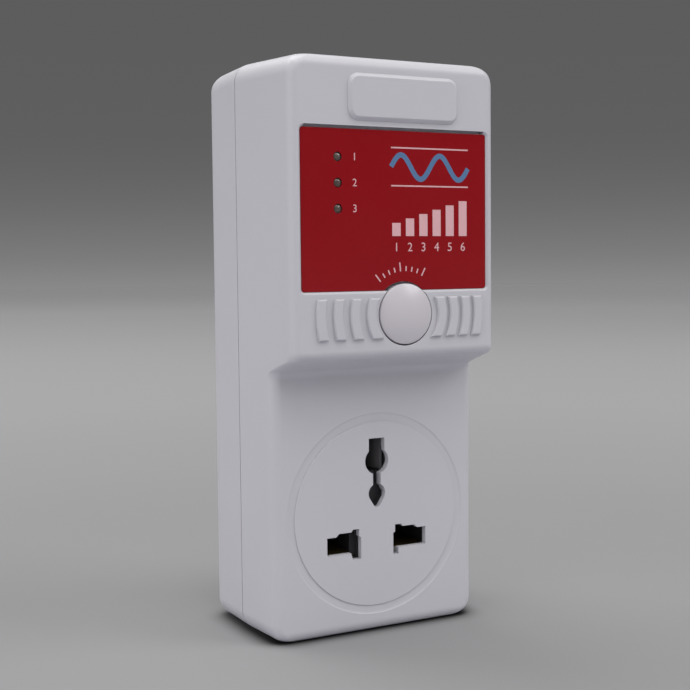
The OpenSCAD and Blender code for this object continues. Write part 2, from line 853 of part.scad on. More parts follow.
module led_spacers() {
    color([0.9, 0.9, 0.88]) for (z = led_places) difference() {
        rod(led_x, led_base_y, z, spacer_r, board_y - led_base_y);
        rod(led_x, led_base_y - over, z, spacer_in_r, board_y - led_base_y + 2 * over);
    }
}

// Domed cap with a flange behind the wall, a hollow for the spring, and a long stem
module bypass_button() {
    rim = cap_top + dome_h;
    dome_r = (button_r * button_r + dome_h * dome_h) / (2 * dome_h);
    dome_a = asin(button_r / dome_r);
    flange_end = in_upper_y + cap_flange_t;
    color(shell_white) translate([button_x, 0, button_z]) rotate([-90, 0, 0]) rotate_extrude()
        polygon(concat([for (p = arc(0, cap_top + dome_r, dome_r, -90, -90 + dome_a, arc_steps)) p],
                       [[button_r, in_upper_y], [cap_flange_r, in_upper_y], [cap_flange_r, flange_end],
                        [button_r - cap_wall, flange_end], [button_r - cap_wall, cap_ceiling],
                        [stem_r, cap_ceiling], [stem_r, plunger_face], [0, plunger_face]]));
}

// Points of one ring of the spring's wire, at turn t of the coil
function spring_ring(t, r, lead, y0) =
    let (a = 360 * t, c = [r * cos(a), r * sin(a), y0 + lead * t],
         out = [cos(a), sin(a), 0],
         slope = atan2(lead, 2 * PI * r),
         up = [sin(a) * sin(slope), -cos(a) * sin(slope), cos(slope)])
    [for (k = [0:spring_sides - 1])
     let (b = 360 * k / spring_sides) c + spring_wire * (cos(b) * out - sin(b) * up)];

module button_spring() {
    y0 = cap_ceiling + spring_wire + spring_slip;
    y1 = guide_y - spring_wire - spring_slip;
    steps = spring_turns * spring_rings;
    lead = (y1 - y0) / spring_turns;
    color(steel) translate([button_x, 0, button_z]) rotate([-90, 0, 0])
        loft([for (i = [0:steps]) spring_ring(i / spring_rings, spring_r, lead, y0)]);
    echo(spring_free_gap = lead - 2 * spring_wire);
}

// Bridge behind the button that guides its stem and carries its spring
module button_guide() {
    color([0.8, 0.8, 0.82]) difference() {
        slab(guide_y, guide_t) translate([button_x, button_z]) {
            plate(2 * guide_reach, guide_w, boss_r);
            for (sx = [-1, 1]) translate([sx * guide_reach, 0]) circle(boss_r);
        }
        rod(button_x, guide_y - over, button_z, stem_r + stem_slip, guide_t + 2 * over);
        for (sx = [-1, 1])
            rod(button_x + sx * guide_reach, guide_y - over, button_z, small_hole_r, guide_t + 2 * over);
    }
}

module guide_screws() {
    color(steel) for (sx = [-1, 1])
        small_screw_rear(button_x + sx * guide_reach, guide_y + guide_t, button_z, small_long);
}

module bypass_switch() {
    color(black) difference() {
        translate([button_x - switch_w / 2, board_y - switch_h, button_z - switch_w / 2])
            cube([switch_w, switch_h, switch_w]);
        rod(button_x, board_y - switch_h - over, button_z, plunger_r + plunger_slip,
            switch_h + over - switch_floor);
    }
}

module switch_plunger() {
    color([0.7, 0.2, 0.15])
        rod(button_x, plunger_face, button_z, plunger_r,
            switch_h + plunger_out - button_travel - 2 * switch_floor);
}

// Outline of the carrier and of its cover: a bar for two contacts under a column for the third
module carrier_outline() {
    translate([-carrier_x, carrier_low]) square([2 * carrier_x, carrier_mid - carrier_low]);
    translate([-column_x, carrier_low]) square([2 * column_x, column_top - carrier_low]);
}

module contact_carrier() {
    depth = carrier_end - in_lower_y;
    color([0.25, 0.25, 0.27]) difference() {
        union() {
            slab(in_lower_y, depth) carrier_outline();
            slab(ear_y, ear_t) translate([-ear_out, ear_z - boss_r]) square([2 * ear_out, 2 * boss_r]);
        }
        for (sx = [-1, 1]) {
            slab(in_lower_y - over, depth + 2 * over)
                translate([sx * pin_x, outlet_z]) square([cell_w, cell_h], center = true);
            rod(sx * ear_x, ear_y - over, ear_z, small_hole_r, ear_t + 2 * over);
        }
        slab(in_lower_y - over, depth + 2 * over)
            translate([0, earth_z]) square([cell_h, earth_cell_h], center = true);
        slab(in_lower_y - over, leaf_start + over) socket_slots();
    }
}

module carrier_cover() {
    color([0.32, 0.32, 0.34]) difference() {
        slab(carrier_end, cover_t) carrier_outline();
        for (sx = [-1, 1]) slab(carrier_end - over, cover_t + 2 * over)
            translate([sx * pin_x, outlet_z - (leaf_gap + leaf_t) / 2])
                square([tail_w + 2 * slit_slip, leaf_t + 2 * slit_slip], center = true);
        slab(carrier_end - over, cover_t + 2 * over)
            translate([(leaf_gap + leaf_t) / 2, earth_z])
                square([leaf_t + 2 * slit_slip, tail_w + 2 * slit_slip], center = true);
    }
}

module carrier_screws() {
    color(steel) for (sx = [-1, 1]) small_screw_rear(sx * ear_x, ear_y + ear_t, ear_z, small_long);
}

// A sprung contact: two leaves, open by the pin's thickness, on a back plate with a solder tail.
// It is drawn with the gap along Z and the leaves running along +Y from y = 0.
module contact(width, length, tail) {
    g = leaf_gap / 2;
    module half() polygon([[0, g + leaf_flare], [leaf_mouth, g], [length - leaf_t, g], [length - leaf_t, 0],
                           [length, 0], [length, g + leaf_t], [leaf_mouth, g + leaf_t],
                           [0, g + leaf_flare + leaf_t]]);
    rotate([90, 0, 90]) translate([0, 0, -width / 2]) linear_extrude(width) {
        half();
        mirror([0, 1]) half();
    }
    translate([-tail_w / 2, length, -g - leaf_t]) cube([tail_w, tail, leaf_t]);
}

module pin_contact(sx) {
    start = in_lower_y + leaf_start;
    color(brass) translate([sx * pin_x, start, outlet_z])
        contact(leaf_w, short_end - start, wire_y - wire_r - wire_touch - short_end);
}
module line_contact() pin_contact(1);
module neutral_contact() pin_contact(-1);

module earth_contact() {
    start = in_lower_y + leaf_start;
    color(brass) translate([0, start, earth_z]) rotate([0, -90, 0])
        contact(earth_leaf_w, contact_end - start, wire_y - wire_r - wire_touch - contact_end);
}

// A plug pin of section w by h that stands out of the back by l, with a bevelled tip, a flange
// inside the case and a solder stub; neck is the length that a sleeve covers
module plug_pin(x, z, w, h, l, neck) {
    tip = back_y + l;
    side = function (half) [[-half, flange_face], [half, flange_face], [half, tip - tip_long],
                            [half - tip_bevel, tip], [-half + tip_bevel, tip], [-half, tip - tip_long]];
    color(brass) difference() {
        union() {
            intersection() {
                translate([x, 0, z - h]) linear_extrude(2 * h) polygon(side(w / 2));
                translate([x - w, 0, z]) rotate([90, 0, 90]) linear_extrude(2 * w)
                    polygon([for (p = side(h / 2)) [p[1], p[0]]]);
            }
            slab(flange_face, flange_t) translate([x, z])
                square([w + 2 * flange_grow, h + 2 * flange_grow], center = true);
            slab(wire_y + wire_r + wire_touch, flange_face + over - wire_y - wire_r - wire_touch)
                translate([x, z]) square([stub_w, stub_w], center = true);
        }
        if (neck > 0) slab(pad_face, neck + back_y - pad_face) translate([x, z]) difference() {
            square([w + 2 * over, h + 2 * over], center = true);
            square([w - 2 * core_inset, h - 2 * core_inset], center = true);
        }
    }
}
module line_pin() plug_pin(pin_x, outlet_z, pin_w, pin_t, pin_out, sleeve_out);
module neutral_pin() plug_pin(-pin_x, outlet_z, pin_w, pin_t, pin_out, sleeve_out);
module earth_pin() plug_pin(0, earth_z, pin_t, earth_h, earth_out, 0);

module pin_sleeves() {
    color(black) for (sx = [-1, 1])
        slab(pad_face, sleeve_out + back_y - pad_face) translate([sx * pin_x, outlet_z]) difference() {
            square([pin_w, pin_t], center = true);
            square([pin_w - 2 * core_inset, pin_t - 2 * core_inset], center = true);
        }
}

// Plate that holds the pins' flanges against the rear shell
module pin_retainer() {
    low = outlet_z - pin_t / 2 - flange_grow - keep_grow;
    top = earth_z + earth_h / 2 + flange_grow + keep_grow;
    wide = pin_x + pin_w / 2 + flange_grow + keep_grow;
    color([0.3, 0.3, 0.32]) difference() {
        slab(retainer_face, retainer_t) {
            translate([-wide, low]) square([2 * wide, pin_t + 2 * (flange_grow + keep_grow)]);
            translate([-pin_t / 2 - flange_grow - keep_grow, low])
                square([pin_t + 2 * (flange_grow + keep_grow), top - low]);
            translate([-ear_out, keep_z - boss_r]) square([2 * ear_out, 2 * boss_r]);
        }
        for (p = [[pin_x, outlet_z], [-pin_x, outlet_z], [0, earth_z]])
            slab(retainer_face - over, retainer_t + 2 * over) translate(p)
                square([stub_w + 2 * stub_slip, stub_w + 2 * stub_slip], center = true);
        for (sx = [-1, 1])
            rod(sx * ear_x, retainer_face - over, keep_z, small_hole_r, retainer_t + 2 * over);
    }
}

module retainer_screws() {
    color(steel) for (sx = [-1, 1])
        small_screw(sx * ear_x, retainer_face, keep_z, retainer_t + in_back_y - flange_face);
}

module main_board() {
    color([0.72, 0.6, 0.32]) difference() {
        slab(board_y, board_t) translate([0, (board_low + board_top) / 2]) plate(board_w, board_h, board_r);
        for (p = board_holes) rod(p[0], board_y - over, p[1], small_hole_r, board_t + 2 * over);
    }
}

module board_screws() {
    color(steel) for (p = board_holes) small_screw(p[0], board_y, p[1], small_long);
}

// Solder lugs at the foot of the board, two for the line on the right and two for the neutral
function terminal_xs() = [for (sx = [-1, 1], i = [0, 1]) sx * (terminal_x + i * terminal_step)];
module board_terminals() {
    color(brass) for (x = terminal_xs())
        translate([x - terminal_w / 2, board_y - terminal_t, terminal_z])
            cube([terminal_w, terminal_t, terminal_h]);
}

module relay_base() {
    color([0.15, 0.2, 0.4])
        translate([relay_x - relay_w / 2, board_y - relay_floor, relay_z])
            cube([relay_w, relay_floor, relay_l]);
}

module relay_cover() {
    color([0.2, 0.3, 0.6]) difference() {
        translate([relay_x - relay_w / 2, board_y - relay_h, relay_z])
            cube([relay_w, relay_h - relay_floor, relay_l]);
        translate([relay_x - relay_w / 2 + relay_wall, board_y - relay_h + relay_wall, relay_z + relay_wall])
            cube([relay_w - 2 * relay_wall, relay_h, relay_l - 2 * relay_wall]);
    }
}

module relay_coil() {
    color([0.6, 0.3, 0.12]) translate([relay_x, coil_y, coil_z]) difference() {
        union() {
            cylinder(r = coil_r, h = coil_l);
            cylinder(r = coil_flange_r, h = coil_flange_t);
            translate([0, 0, coil_l - coil_flange_t]) cylinder(r = coil_flange_r, h = coil_flange_t);
        }
        translate([0, 0, -over]) cylinder(r = core_r, h = coil_l + 2 * over);
    }
}

module relay_core() {
    color(steel) translate([relay_x, coil_y, coil_z - yoke_slip])
        cylinder(r = core_r, h = pole_z - coil_z + yoke_slip);
}

// Angle of iron round the coil, with two ears that carry the armature's pivot
module relay_yoke() {
    end_z = coil_z - yoke_slip - yoke_t;
    color(steel) difference() {
        union() {
            translate([relay_x - yoke_w / 2, yoke_y, end_z]) cube([yoke_w, yoke_t, pole_z - end_z]);
            translate([relay_x - yoke_w / 2, yoke_y, end_z])
                cube([yoke_w, coil_y + core_r - yoke_y, yoke_t]);
            for (sx = [-1, 1])
                translate([relay_x + sx * (yoke_w / 2 + ear_gap + ear_plate_t / 2), pivot_y, pivot_z]) {
                    rotate([0, 90, 0]) cylinder(r = ear_plate_r, h = ear_plate_t, center = true);
                    translate([-ear_plate_t / 2, -yoke_t / 2, pole_z - coil_l / 2 - pivot_z])
                        cube([ear_plate_t, yoke_t, pivot_z - pole_z + coil_l / 2]);
                }
            for (sx = [-1, 1])
                translate([relay_x + (sx < 0 ? -yoke_w / 2 - ear_gap - over : yoke_w / 2 - over),
                           yoke_y, pole_z - coil_l / 2])
                    cube([ear_gap + 2 * over, yoke_t, coil_l / 2 - 2 * pivot_r]);
        }
        translate([relay_x, pivot_y, pivot_z]) rotate([0, 90, 0])
            cylinder(r = pivot_r + pivot_slip, h = 2 * yoke_w, center = true);
    }
}

// Iron plate that the coil pulls in, with its pivot
module relay_armature() {
    pin_l = yoke_w + 2 * (ear_gap + ear_plate_t);
    color([0.6, 0.6, 0.64]) {
        translate([relay_x - yoke_w / 2, pivot_y, pole_z + armature_gap])
            cube([yoke_w, armature_l, armature_t]);
        translate([relay_x, pivot_y, pivot_z]) rotate([0, 90, 0])
            cylinder(r = pivot_r, h = pin_l, center = true);
    }
}

// Contact blade that swings with the armature, with its rivet
module relay_blade() {
    root = pole_z + armature_gap + armature_t;
    color(brass) {
        translate([relay_x - blade_wide / 2, pivot_y, root]) cube([blade_wide, armature_l / 2, blade_t]);
        translate([relay_x - blade_wide / 2, pivot_y, root]) cube([blade_wide, blade_t, blade_long]);
        rod(relay_x, pivot_y + blade_t, root + blade_long - rivet_r, rivet_r, rivet_h);
    }
}

// Fixed contact on its post, under the blade's rivet
module relay_contact() {
    z = pole_z + armature_gap + armature_t + blade_long - rivet_r;
    face = pivot_y + blade_t + rivet_h + contact_gap;
    color(brass) {
        rod(relay_x, face, z, rivet_r, rivet_h);
        translate([relay_x - blade_wide / 2, face + rivet_h, z - rivet_r])
            cube([blade_wide, blade_t, 2 * rivet_r]);
        translate([relay_x - blade_wide / 2, face + rivet_h, z + rivet_r - blade_t])
            cube([blade_wide, board_y - relay_floor - face - rivet_h, blade_t]);
    }
}

// Stack of iron sheets with two windows
module transformer_core() {
    base = board_y - trafo_foot;
    color([0.35, 0.35, 0.38]) difference() {
        translate([trafo_x - trafo_w / 2, base - trafo_h, trafo_z - trafo_stack / 2])
            cube([trafo_w, trafo_h, trafo_stack]);
        for (sx = [-1, 1])
            translate([trafo_x + sx * trafo_w / 4 - window_w / 2, base - (trafo_h + window_h) / 2,
                       trafo_z - trafo_stack / 2 - over])
                cube([window_w, window_h, trafo_stack + 2 * over]);
    }
}
function leg_half() = trafo_w / 4 - window_w / 2;

module transformer_bobbin() {
    mid = board_y - trafo_foot - trafo_h / 2;
    tube_x = leg_half() + bobbin_slip + bobbin_t;
    tube_z = trafo_stack / 2 + bobbin_slip + bobbin_t;
    wide = leg_half() + window_w - bobbin_slip;
    color([0.2, 0.2, 0.22]) difference() {
        union() {
            slab(mid - window_h / 2 + bobbin_slip, window_h - 2 * bobbin_slip)
                translate([trafo_x, trafo_z]) square([2 * tube_x, 2 * tube_z], center = true);
            for (y = [mid - window_h / 2 + bobbin_slip, mid + window_h / 2 - bobbin_slip - bobbin_t])
                slab(y, bobbin_t) translate([trafo_x, trafo_z]) square([2 * wide, trafo_l], center = true);
            for (sz = [-1, 1])
                translate([trafo_x - wide, mid + window_h / 2 - bobbin_slip - bobbin_t,
                           trafo_z + sz * (trafo_l / 2 - bobbin_t) - bobbin_t])
                    cube([2 * wide, board_y - mid - window_h / 2 + bobbin_slip + bobbin_t, 2 * bobbin_t]);
        }
        slab(mid - window_h, 2 * window_h) translate([trafo_x, trafo_z])
            square([2 * (leg_half() + bobbin_slip), trafo_stack + 2 * bobbin_slip], center = true);
    }
}

module transformer_winding() {
    mid = board_y - trafo_foot - trafo_h / 2;
    high = window_h - 2 * (2 * bobbin_slip + bobbin_t);
    wide = leg_half() + window_w - 4 * bobbin_slip;
    color([0.75, 0.6, 0.2]) slab(mid - high / 2, high) translate([trafo_x, trafo_z]) difference() {
        plate(2 * wide, trafo_l - winding_r, winding_r);
        square([2 * (leg_half() + 2 * bobbin_slip + bobbin_t),
                trafo_stack + 2 * (2 * bobbin_slip + bobbin_t)], center = true);
    }
}

// Upright can with a rounded crimp near its foot
module can(x, z, r, h) {
    translate([x, board_y, z]) rotate([90, 0, 0]) difference() {
        cylinder(r = r, h = h);
        translate([0, 0, h / 8]) rotate_extrude() translate([r + vent_t, 0]) circle(2 * vent_t);
        for (a = [0, 90]) rotate([0, 0, a])
            translate([-r / 2, -vent_t / 2, h - vent_t]) cube([r, vent_t, vent_t + over]);
    }
}
module filter_capacitor() color([0.1, 0.12, 0.3]) can(filter_x, filter_z, filter_r, filter_h);
module timing_capacitor() color([0.1, 0.12, 0.3]) can(timing_x, timing_z, timing_r, timing_h);

module mains_capacitor() {
    color([0.85, 0.75, 0.2])
        slab(board_y - mains_h, mains_h) translate([mains_x, mains_z]) plate(mains_w, mains_t, mains_r);
}

module varistor() {
    color([0.15, 0.35, 0.6]) translate([varistor_x, board_y - varistor_r - chip_stand, mains_z]) {
        cylinder(r = varistor_r, h = varistor_t, center = true);
        for (sx = [-1, 1])
            translate([sx * varistor_r / 2 - leg_w / 2, 0, -leg_w / 2])
                cube([leg_w, varistor_r + chip_stand, leg_w]);
    }
}

module thermal_fuse() {
    color([0.85, 0.85, 0.8]) translate([0, board_y - fuse_r, fuse_z]) rotate([0, 90, 0]) {
        cylinder(r = fuse_r, h = fuse_l, center = true);
        cylinder(r = leg_t, h = fuse_l + 4 * fuse_r, center = true);
    }
}

// Moulded chip body with a dimple beside its first leg
module chip(x, z, l) {
    color(black) difference() {
        translate([x - chip_w / 2, board_y - chip_stand - chip_h, z - l / 2]) cube([chip_w, chip_h, l]);
        rod(x - chip_w / 4, board_y - chip_stand - chip_h - over, z + l / 2 - 2 * chip_mark_r, chip_mark_r,
            chip_mark_deep + over);
    }
}
module comparator_chip() chip(comparator_x, comparator_z, comparator_l);
module timer_chip() chip(timer_x, timer_z, timer_l);

// Legs along both sides of a chip
module legs(x, z, l) {
    n = floor(l / leg_pitch);
    for (sx = [-1, 1], i = [0:n - 1])
        translate([x + sx * chip_w / 2 - (sx < 0 ? leg_out : 0), 0,
                   z + (i - (n - 1) / 2) * leg_pitch - leg_w / 2]) {
            translate([0, board_y - chip_stand - leg_high, 0]) cube([leg_out, leg_t, leg_w]);
            translate([sx < 0 ? 0 : leg_out - leg_t, board_y - chip_stand - leg_high, 0])
                cube([leg_t, chip_stand + leg_high, leg_w]);
        }
}
module chip_legs() {
    color(steel) {
        legs(comparator_x, comparator_z, comparator_l);
        legs(timer_x, timer_z, timer_l);
    }
}

module resistors() {
    color([0.8, 0.7, 0.5]) for (i = [0:resistor_count - 1])
        translate([resistor_x, board_y - resistor_cap_r, resistor_z + i * resistor_pitch])
            rotate([0, 90, 0]) {
                cylinder(r = resistor_r, h = resistor_l, center = true);
                for (s = [-1, 1]) translate([0, 0, s * (resistor_l - resistor_cap_l) / 2])
                    cylinder(r = resistor_cap_r, h = resistor_cap_l, center = true);
            }
}

module rectifier_diodes() {
    color(black) for (i = [0:diode_count - 1])
        translate([(i - (diode_count - 1) / 2) * diode_pitch, board_y - diode_r, diode_z])
            rotate([0, 90, 0]) cylinder(r = diode_r, h = diode_l, center = true);
}

module trimmer() {
    color([0.15, 0.35, 0.7]) difference() {
        union() {
            translate([trimmer_x - trimmer_w / 2, board_y - trimmer_h, trimmer_z - trimmer_w / 2])
                cube([trimmer_w, trimmer_h, trimmer_w]);
            rod(trimmer_x, board_y - trimmer_h - trimmer_dial_h, trimmer_z, trimmer_dial_r, trimmer_h);
        }
        translate([trimmer_x - trimmer_dial_r / 2, board_y - trimmer_h - trimmer_dial_h - over,
                   trimmer_z - leg_t])
            cube([trimmer_dial_r, over + trimmer_dial_h / 2, 2 * leg_t]);
    }
}

module relay_driver() {
    color(black) difference() {
        rod(driver_x, board_y - driver_h, driver_z, driver_r, driver_h);
        translate([driver_x - driver_r - over, board_y - driver_h - over, driver_z - driver_r - over])
            cube([2 * (driver_r + over), driver_h + 2 * over, driver_r + over - driver_flat]);
    }
}

// Places of the leads that come through to the solder side
function joint_places() = concat(
    [for (z = led_places, sx = [-1, 1]) [led_x + sx * lead_half, z]],
    [for (x = terminal_xs()) [x, terminal_z + terminal_h / 2]],
    [for (i = [0:resistor_count - 1], sx = [-1, 1])
     [resistor_x + sx * resistor_l / 2, resistor_z + i * resistor_pitch]],
    [for (sx = [-1, 0, 1], sz = [-1, 1]) [trafo_x + sx * window_w, trafo_z + sz * (trafo_l / 2 - bobbin_t)]],
    [for (sz = [-1, 1]) [relay_x, relay_z + relay_l / 2 + sz * relay_l / 3]],
    [for (sx = [-1, 1]) [filter_x + sx * filter_r / 2, filter_z]],
    [for (sx = [-1, 1], sz = [-1, 1]) [button_x + sx * switch_w / 3, button_z + sz * switch_w / 3]]);
module solder_joints() {
    color(steel) for (p = joint_places())
        translate([p[0], board_back, p[1]]) rotate([-90, 0, 0])
            cylinder(r1 = joint_r, r2 = joint_tip_r, h = joint_h, $fn = 16);
}

// The route with each bend rounded off over bend_r on both sides
function toward(a, b, d) = a + (b - a) * min(d / norm(b - a), bend_share);
function rounded(route) = concat([route[0]],
    [for (i = [1:len(route) - 2])
     let (a = toward(route[i], route[i - 1], bend_r), b = toward(route[i], route[i + 1], bend_r))
     each [for (k = [0:bend_steps]) let (t = k / bend_steps)
           (1 - t) * (1 - t) * a + 2 * t * (1 - t) * route[i] + t * t * b]],
    [route[len(route) - 1]]);
function unit(v) = v / norm(v);
function square_to(u, t) = unit(u - (u * t) * t);

// Direction of the route at each point, and a side vector carried along it without twist
function heading(pts, i) =
    unit((i < len(pts) - 1 ? unit(pts[i + 1] - pts[i]) : [0, 0, 0]) +
         (i > 0 ? unit(pts[i] - pts[i - 1]) : [0, 0, 0]));
function side_at(pts, i) = square_to(i == 0 ? [1, 0, 0] : side_at(pts, i - 1), heading(pts, i));

// A round wire along a route, as one closed tube
module wire(route) {
    pts = rounded(route);
    loft([for (i = [0:len(pts) - 1])
          let (t = heading(pts, i), u = side_at(pts, i), w = cross(t, u))
          [for (k = [0:wire_sides - 1]) let (a = 360 * k / wire_sides)
           pts[i] + wire_r * (cos(a) * u + sin(a) * w)]]);
}

// Route up the wiring layer at x, from height z, past the carrier to a lug on the board
function up_route(x, z, lug) =
    [[x, wire_y, z], [x, wire_y, keep_z + small_head_r],
     [lug, wire_y, board_low - 3 * wire_r - carrier_wall],
     [lug, board_y - terminal_t / 2, board_low - wire_touch],
     [lug, board_y - terminal_t / 2, terminal_z - wire_r - wire_touch]];

// The incoming wires start at the pins' stubs and pass inside the retainer's screws
function in_route(sx, lug) =
    concat([[sx * pin_x, wire_y, outlet_z]],
           up_route(sx * (ear_x - small_head_r - head_space - wire_r), outlet_z + 3 * stub_w, lug));
module line_in_wire() color([0.45, 0.25, 0.12]) wire(in_route(1, terminal_xs()[2]));
module neutral_in_wire() color([0.15, 0.3, 0.7]) wire(in_route(-1, terminal_xs()[0]));

// The outgoing wires start lower, at the contact tails, and keep outside the incoming ones
function out_route(sx, lug) =
    concat([[sx * (pin_x + tail_w / 4), wire_y, outlet_z - (leaf_gap + leaf_t) / 2 - wire_r]],
           [[sx * (carrier_x - wire_r), wire_y, outlet_z]],
           up_route(sx * (carrier_x - wire_r), outlet_z + 2 * wire_r, lug));
module line_out_wire() color([0.45, 0.25, 0.12]) wire(out_route(1, terminal_xs()[3]));
module neutral_out_wire() color([0.15, 0.3, 0.7]) wire(out_route(-1, terminal_xs()[1]));

module earth_wire() {
    color([0.35, 0.6, 0.2]) wire([[0, wire_y, earth_z - stub_w / 4], [wire_r, wire_y, earth_z + stub_w / 4],
                                  [(leaf_gap + leaf_t) / 2 + wire_r, wire_y, earth_z + tail_w / 2]]);
}

front_shell();
rear_shell();
case_screws();
label_plate();
led_off();
led_wait();
led_on();
led_spacers();
bypass_button();
button_spring();
button_guide();
guide_screws();
bypass_switch();
switch_plunger();
contact_carrier();
carrier_cover();
carrier_screws();
line_contact();
neutral_contact();
earth_contact();
line_pin();
neutral_pin();
earth_pin();
pin_sleeves();
pin_retainer();
retainer_screws();
main_board();
board_screws();
board_terminals();
relay_base();
relay_cover();
relay_coil();
relay_core();
relay_yoke();
relay_armature();
relay_blade();
relay_contact();
transformer_core();
transformer_bobbin();
transformer_winding();
filter_capacitor();
timing_capacitor();
mains_capacitor();
varistor();
thermal_fuse();
comparator_chip();
timer_chip();
chip_legs();
resistors();
rectifier_diodes();
trimmer();
relay_driver();
solder_joints();
line_in_wire();
line_out_wire();
neutral_in_wire();
neutral_out_wire();
earth_wire();
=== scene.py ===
import json
import math

import bmesh
import bpy
from mathutils import Matrix, Vector


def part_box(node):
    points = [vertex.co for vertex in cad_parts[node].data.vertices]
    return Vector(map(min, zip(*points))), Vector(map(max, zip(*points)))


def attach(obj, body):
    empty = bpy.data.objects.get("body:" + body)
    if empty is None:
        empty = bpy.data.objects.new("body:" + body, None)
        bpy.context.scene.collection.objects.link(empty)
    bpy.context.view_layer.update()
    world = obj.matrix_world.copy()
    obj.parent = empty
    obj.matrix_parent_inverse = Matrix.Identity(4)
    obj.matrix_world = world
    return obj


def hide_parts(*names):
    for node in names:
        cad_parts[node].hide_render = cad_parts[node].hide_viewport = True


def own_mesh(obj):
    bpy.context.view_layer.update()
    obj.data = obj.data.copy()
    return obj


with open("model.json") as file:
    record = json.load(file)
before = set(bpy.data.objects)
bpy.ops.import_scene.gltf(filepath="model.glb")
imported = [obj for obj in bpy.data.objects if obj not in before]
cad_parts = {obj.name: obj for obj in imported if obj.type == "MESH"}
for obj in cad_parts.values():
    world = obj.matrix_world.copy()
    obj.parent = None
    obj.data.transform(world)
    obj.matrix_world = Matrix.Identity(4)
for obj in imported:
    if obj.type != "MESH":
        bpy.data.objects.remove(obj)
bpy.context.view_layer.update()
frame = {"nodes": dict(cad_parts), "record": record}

# Lengths below are millimetres; every mesh is turned into metres when it is made
MM = 0.001
# Points of a round stretch
ARC = 14
# Radius that stands for the axis of a turned piece
AXIS = 0.0001

# The case: the CAD model's sizes, but with slightly sharper front edges, as in the photograph
BODY_W = 60.0
BODY_H = 144.0
UPPER_D = 47.5
STEP_OUT = 11.0
REAR_D = 19.0
WALL = 2.5
CORNER_R = 5.0
FRONT_ROUND = 2.7
REAR_ROUND = 3.5
FRONT_DRAFT = 1.0
REAR_DRAFT = 0.8
SEAM_GAP = 0.3
LEDGE_Z = 67.7
LEDGE_SLOPE = 19.4
LEDGE_FILLET = 2.5
MIN_ROUND = 0.4
BACK_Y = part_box("rear_shell")[1].y / MM
UPPER_Y = BACK_Y - UPPER_D
LOWER_Y = UPPER_Y + STEP_OUT
SEAM_Y = BACK_Y - REAR_D
RIM_Y = SEAM_Y - SEAM_GAP / 2
IN_UPPER_Y = UPPER_Y + WALL
IN_LOWER_Y = LOWER_Y + WALL
IN_BACK_Y = BACK_Y - WALL
OVER = 0.5

# Label, plaque, button, ribs and lamps
LABEL_W = 52.8
LABEL_H = 38.9
LABEL_TOP = BODY_H - 18
LABEL_Z = LABEL_TOP - LABEL_H
LABEL_DEEP = 0.8
LABEL_T = 0.3
LABEL_R = 0.8
LABEL_GAP = 0.1
LABEL_CHAMFER = 0.55
# Dark slit above the label
LABEL_SLIT = 0.6
LABEL_SLIT_DEEP = 2.0
PLAQUE_X = 1.9
PLAQUE_Z = BODY_H - 10.5
PLAQUE_W = 31.2
PLAQUE_H = 11.2
PLAQUE_R = 2.8
# Profile of the plaque's edge: set in by, standing out by
PLAQUE_EDGE = [(0, 0.1), (0.12, 0.3), (0.75, 0.9), (0.95, 1.0)]
BUTTON_X = 2.1
BUTTON_Z = LABEL_Z - 5.85
BUTTON_R = 7.45
# How far the button stands to the right and up in its hole
BUTTON_LEAN = 0.1
HOLE_R = BUTTON_R + 0.25
NOTCH_R = HOLE_R + 0.4
NOTCH_X = BUTTON_X - 0.3
POCKET_FLOOR = 0.4
# The button's flange behind the front, and the room for it
BUTTON_FLANGE = 0.9
BUTTON_FLANGE_T = 1.2
FLANGE_OVER = 1.2
FLANGE_DEEP = 3.5
BUTTON_STEM_R = 2.4
BUTTON_PROUD = 1.5
BUTTON_WALL = 1.5
BUTTON_TOP_T = 1.7
DOME_H = 1.4
DOME_POWER = 2
DOME_RIM = 0.35
RIB_COUNT = 4
RIB_W = 2.6
RIB_H = 9.9
RIB_LOWER = 0.8
RIB_EDGE = [(0, 0.3), (0.06, 0.5), (0.2, 0.68), (0.42, 0.8)]
# Side of the button, radius of its first rib, pitch
RIB_SIDES = [(-1, HOLE_R + 0.9, 4.6), (1, HOLE_R + 1.5, 3.6)]
LED_X = -LABEL_W / 2 + 10.1
LED_R = 1.5
LED_L = 5.3
LED_TIP = 0.4
LED_RIM_R = 1.95
LED_RIM_H = 1.0
LEAD_X = 1.27
LEAD_T = 0.5
LEAD_IN = 1.2
LED_VIEW_R = 1.15
LED_PITCH = 6.15
LED_ZS = [LABEL_TOP - 6.8 - i * LED_PITCH for i in range(3)]

# Socket
OUTLET_Z = 23.0
PIN_X = 11.1
EARTH_Z = OUTLET_Z + 22.2
PIN_W = 6.3
PIN_T = 4.0
EARTH_H = 8.0
SLOT_SLIP = 0.3
# The slots are hollowed behind: the wall left in front, how much larger the hollow is, and the
# places it grows from, to the side for line and neutral, from its centre for the earth
SLOT_LIP = 1.6
SLOT_HOLLOW = 1.18
BLADE_MIDDLE = 9.5
EARTH_MIDDLE = -4.0
RING_R = 23.6
RING_W = 2.2
RING_DEEP = 0.24
RING_SLOPE = 0.5
RING_Z = OUTLET_Z + 7.2

# Inner places that the rear shell, the button and the pins need
PIN_L = 17.7
EARTH_PIN_L = 22.7
PIN_EDGE = 0.35
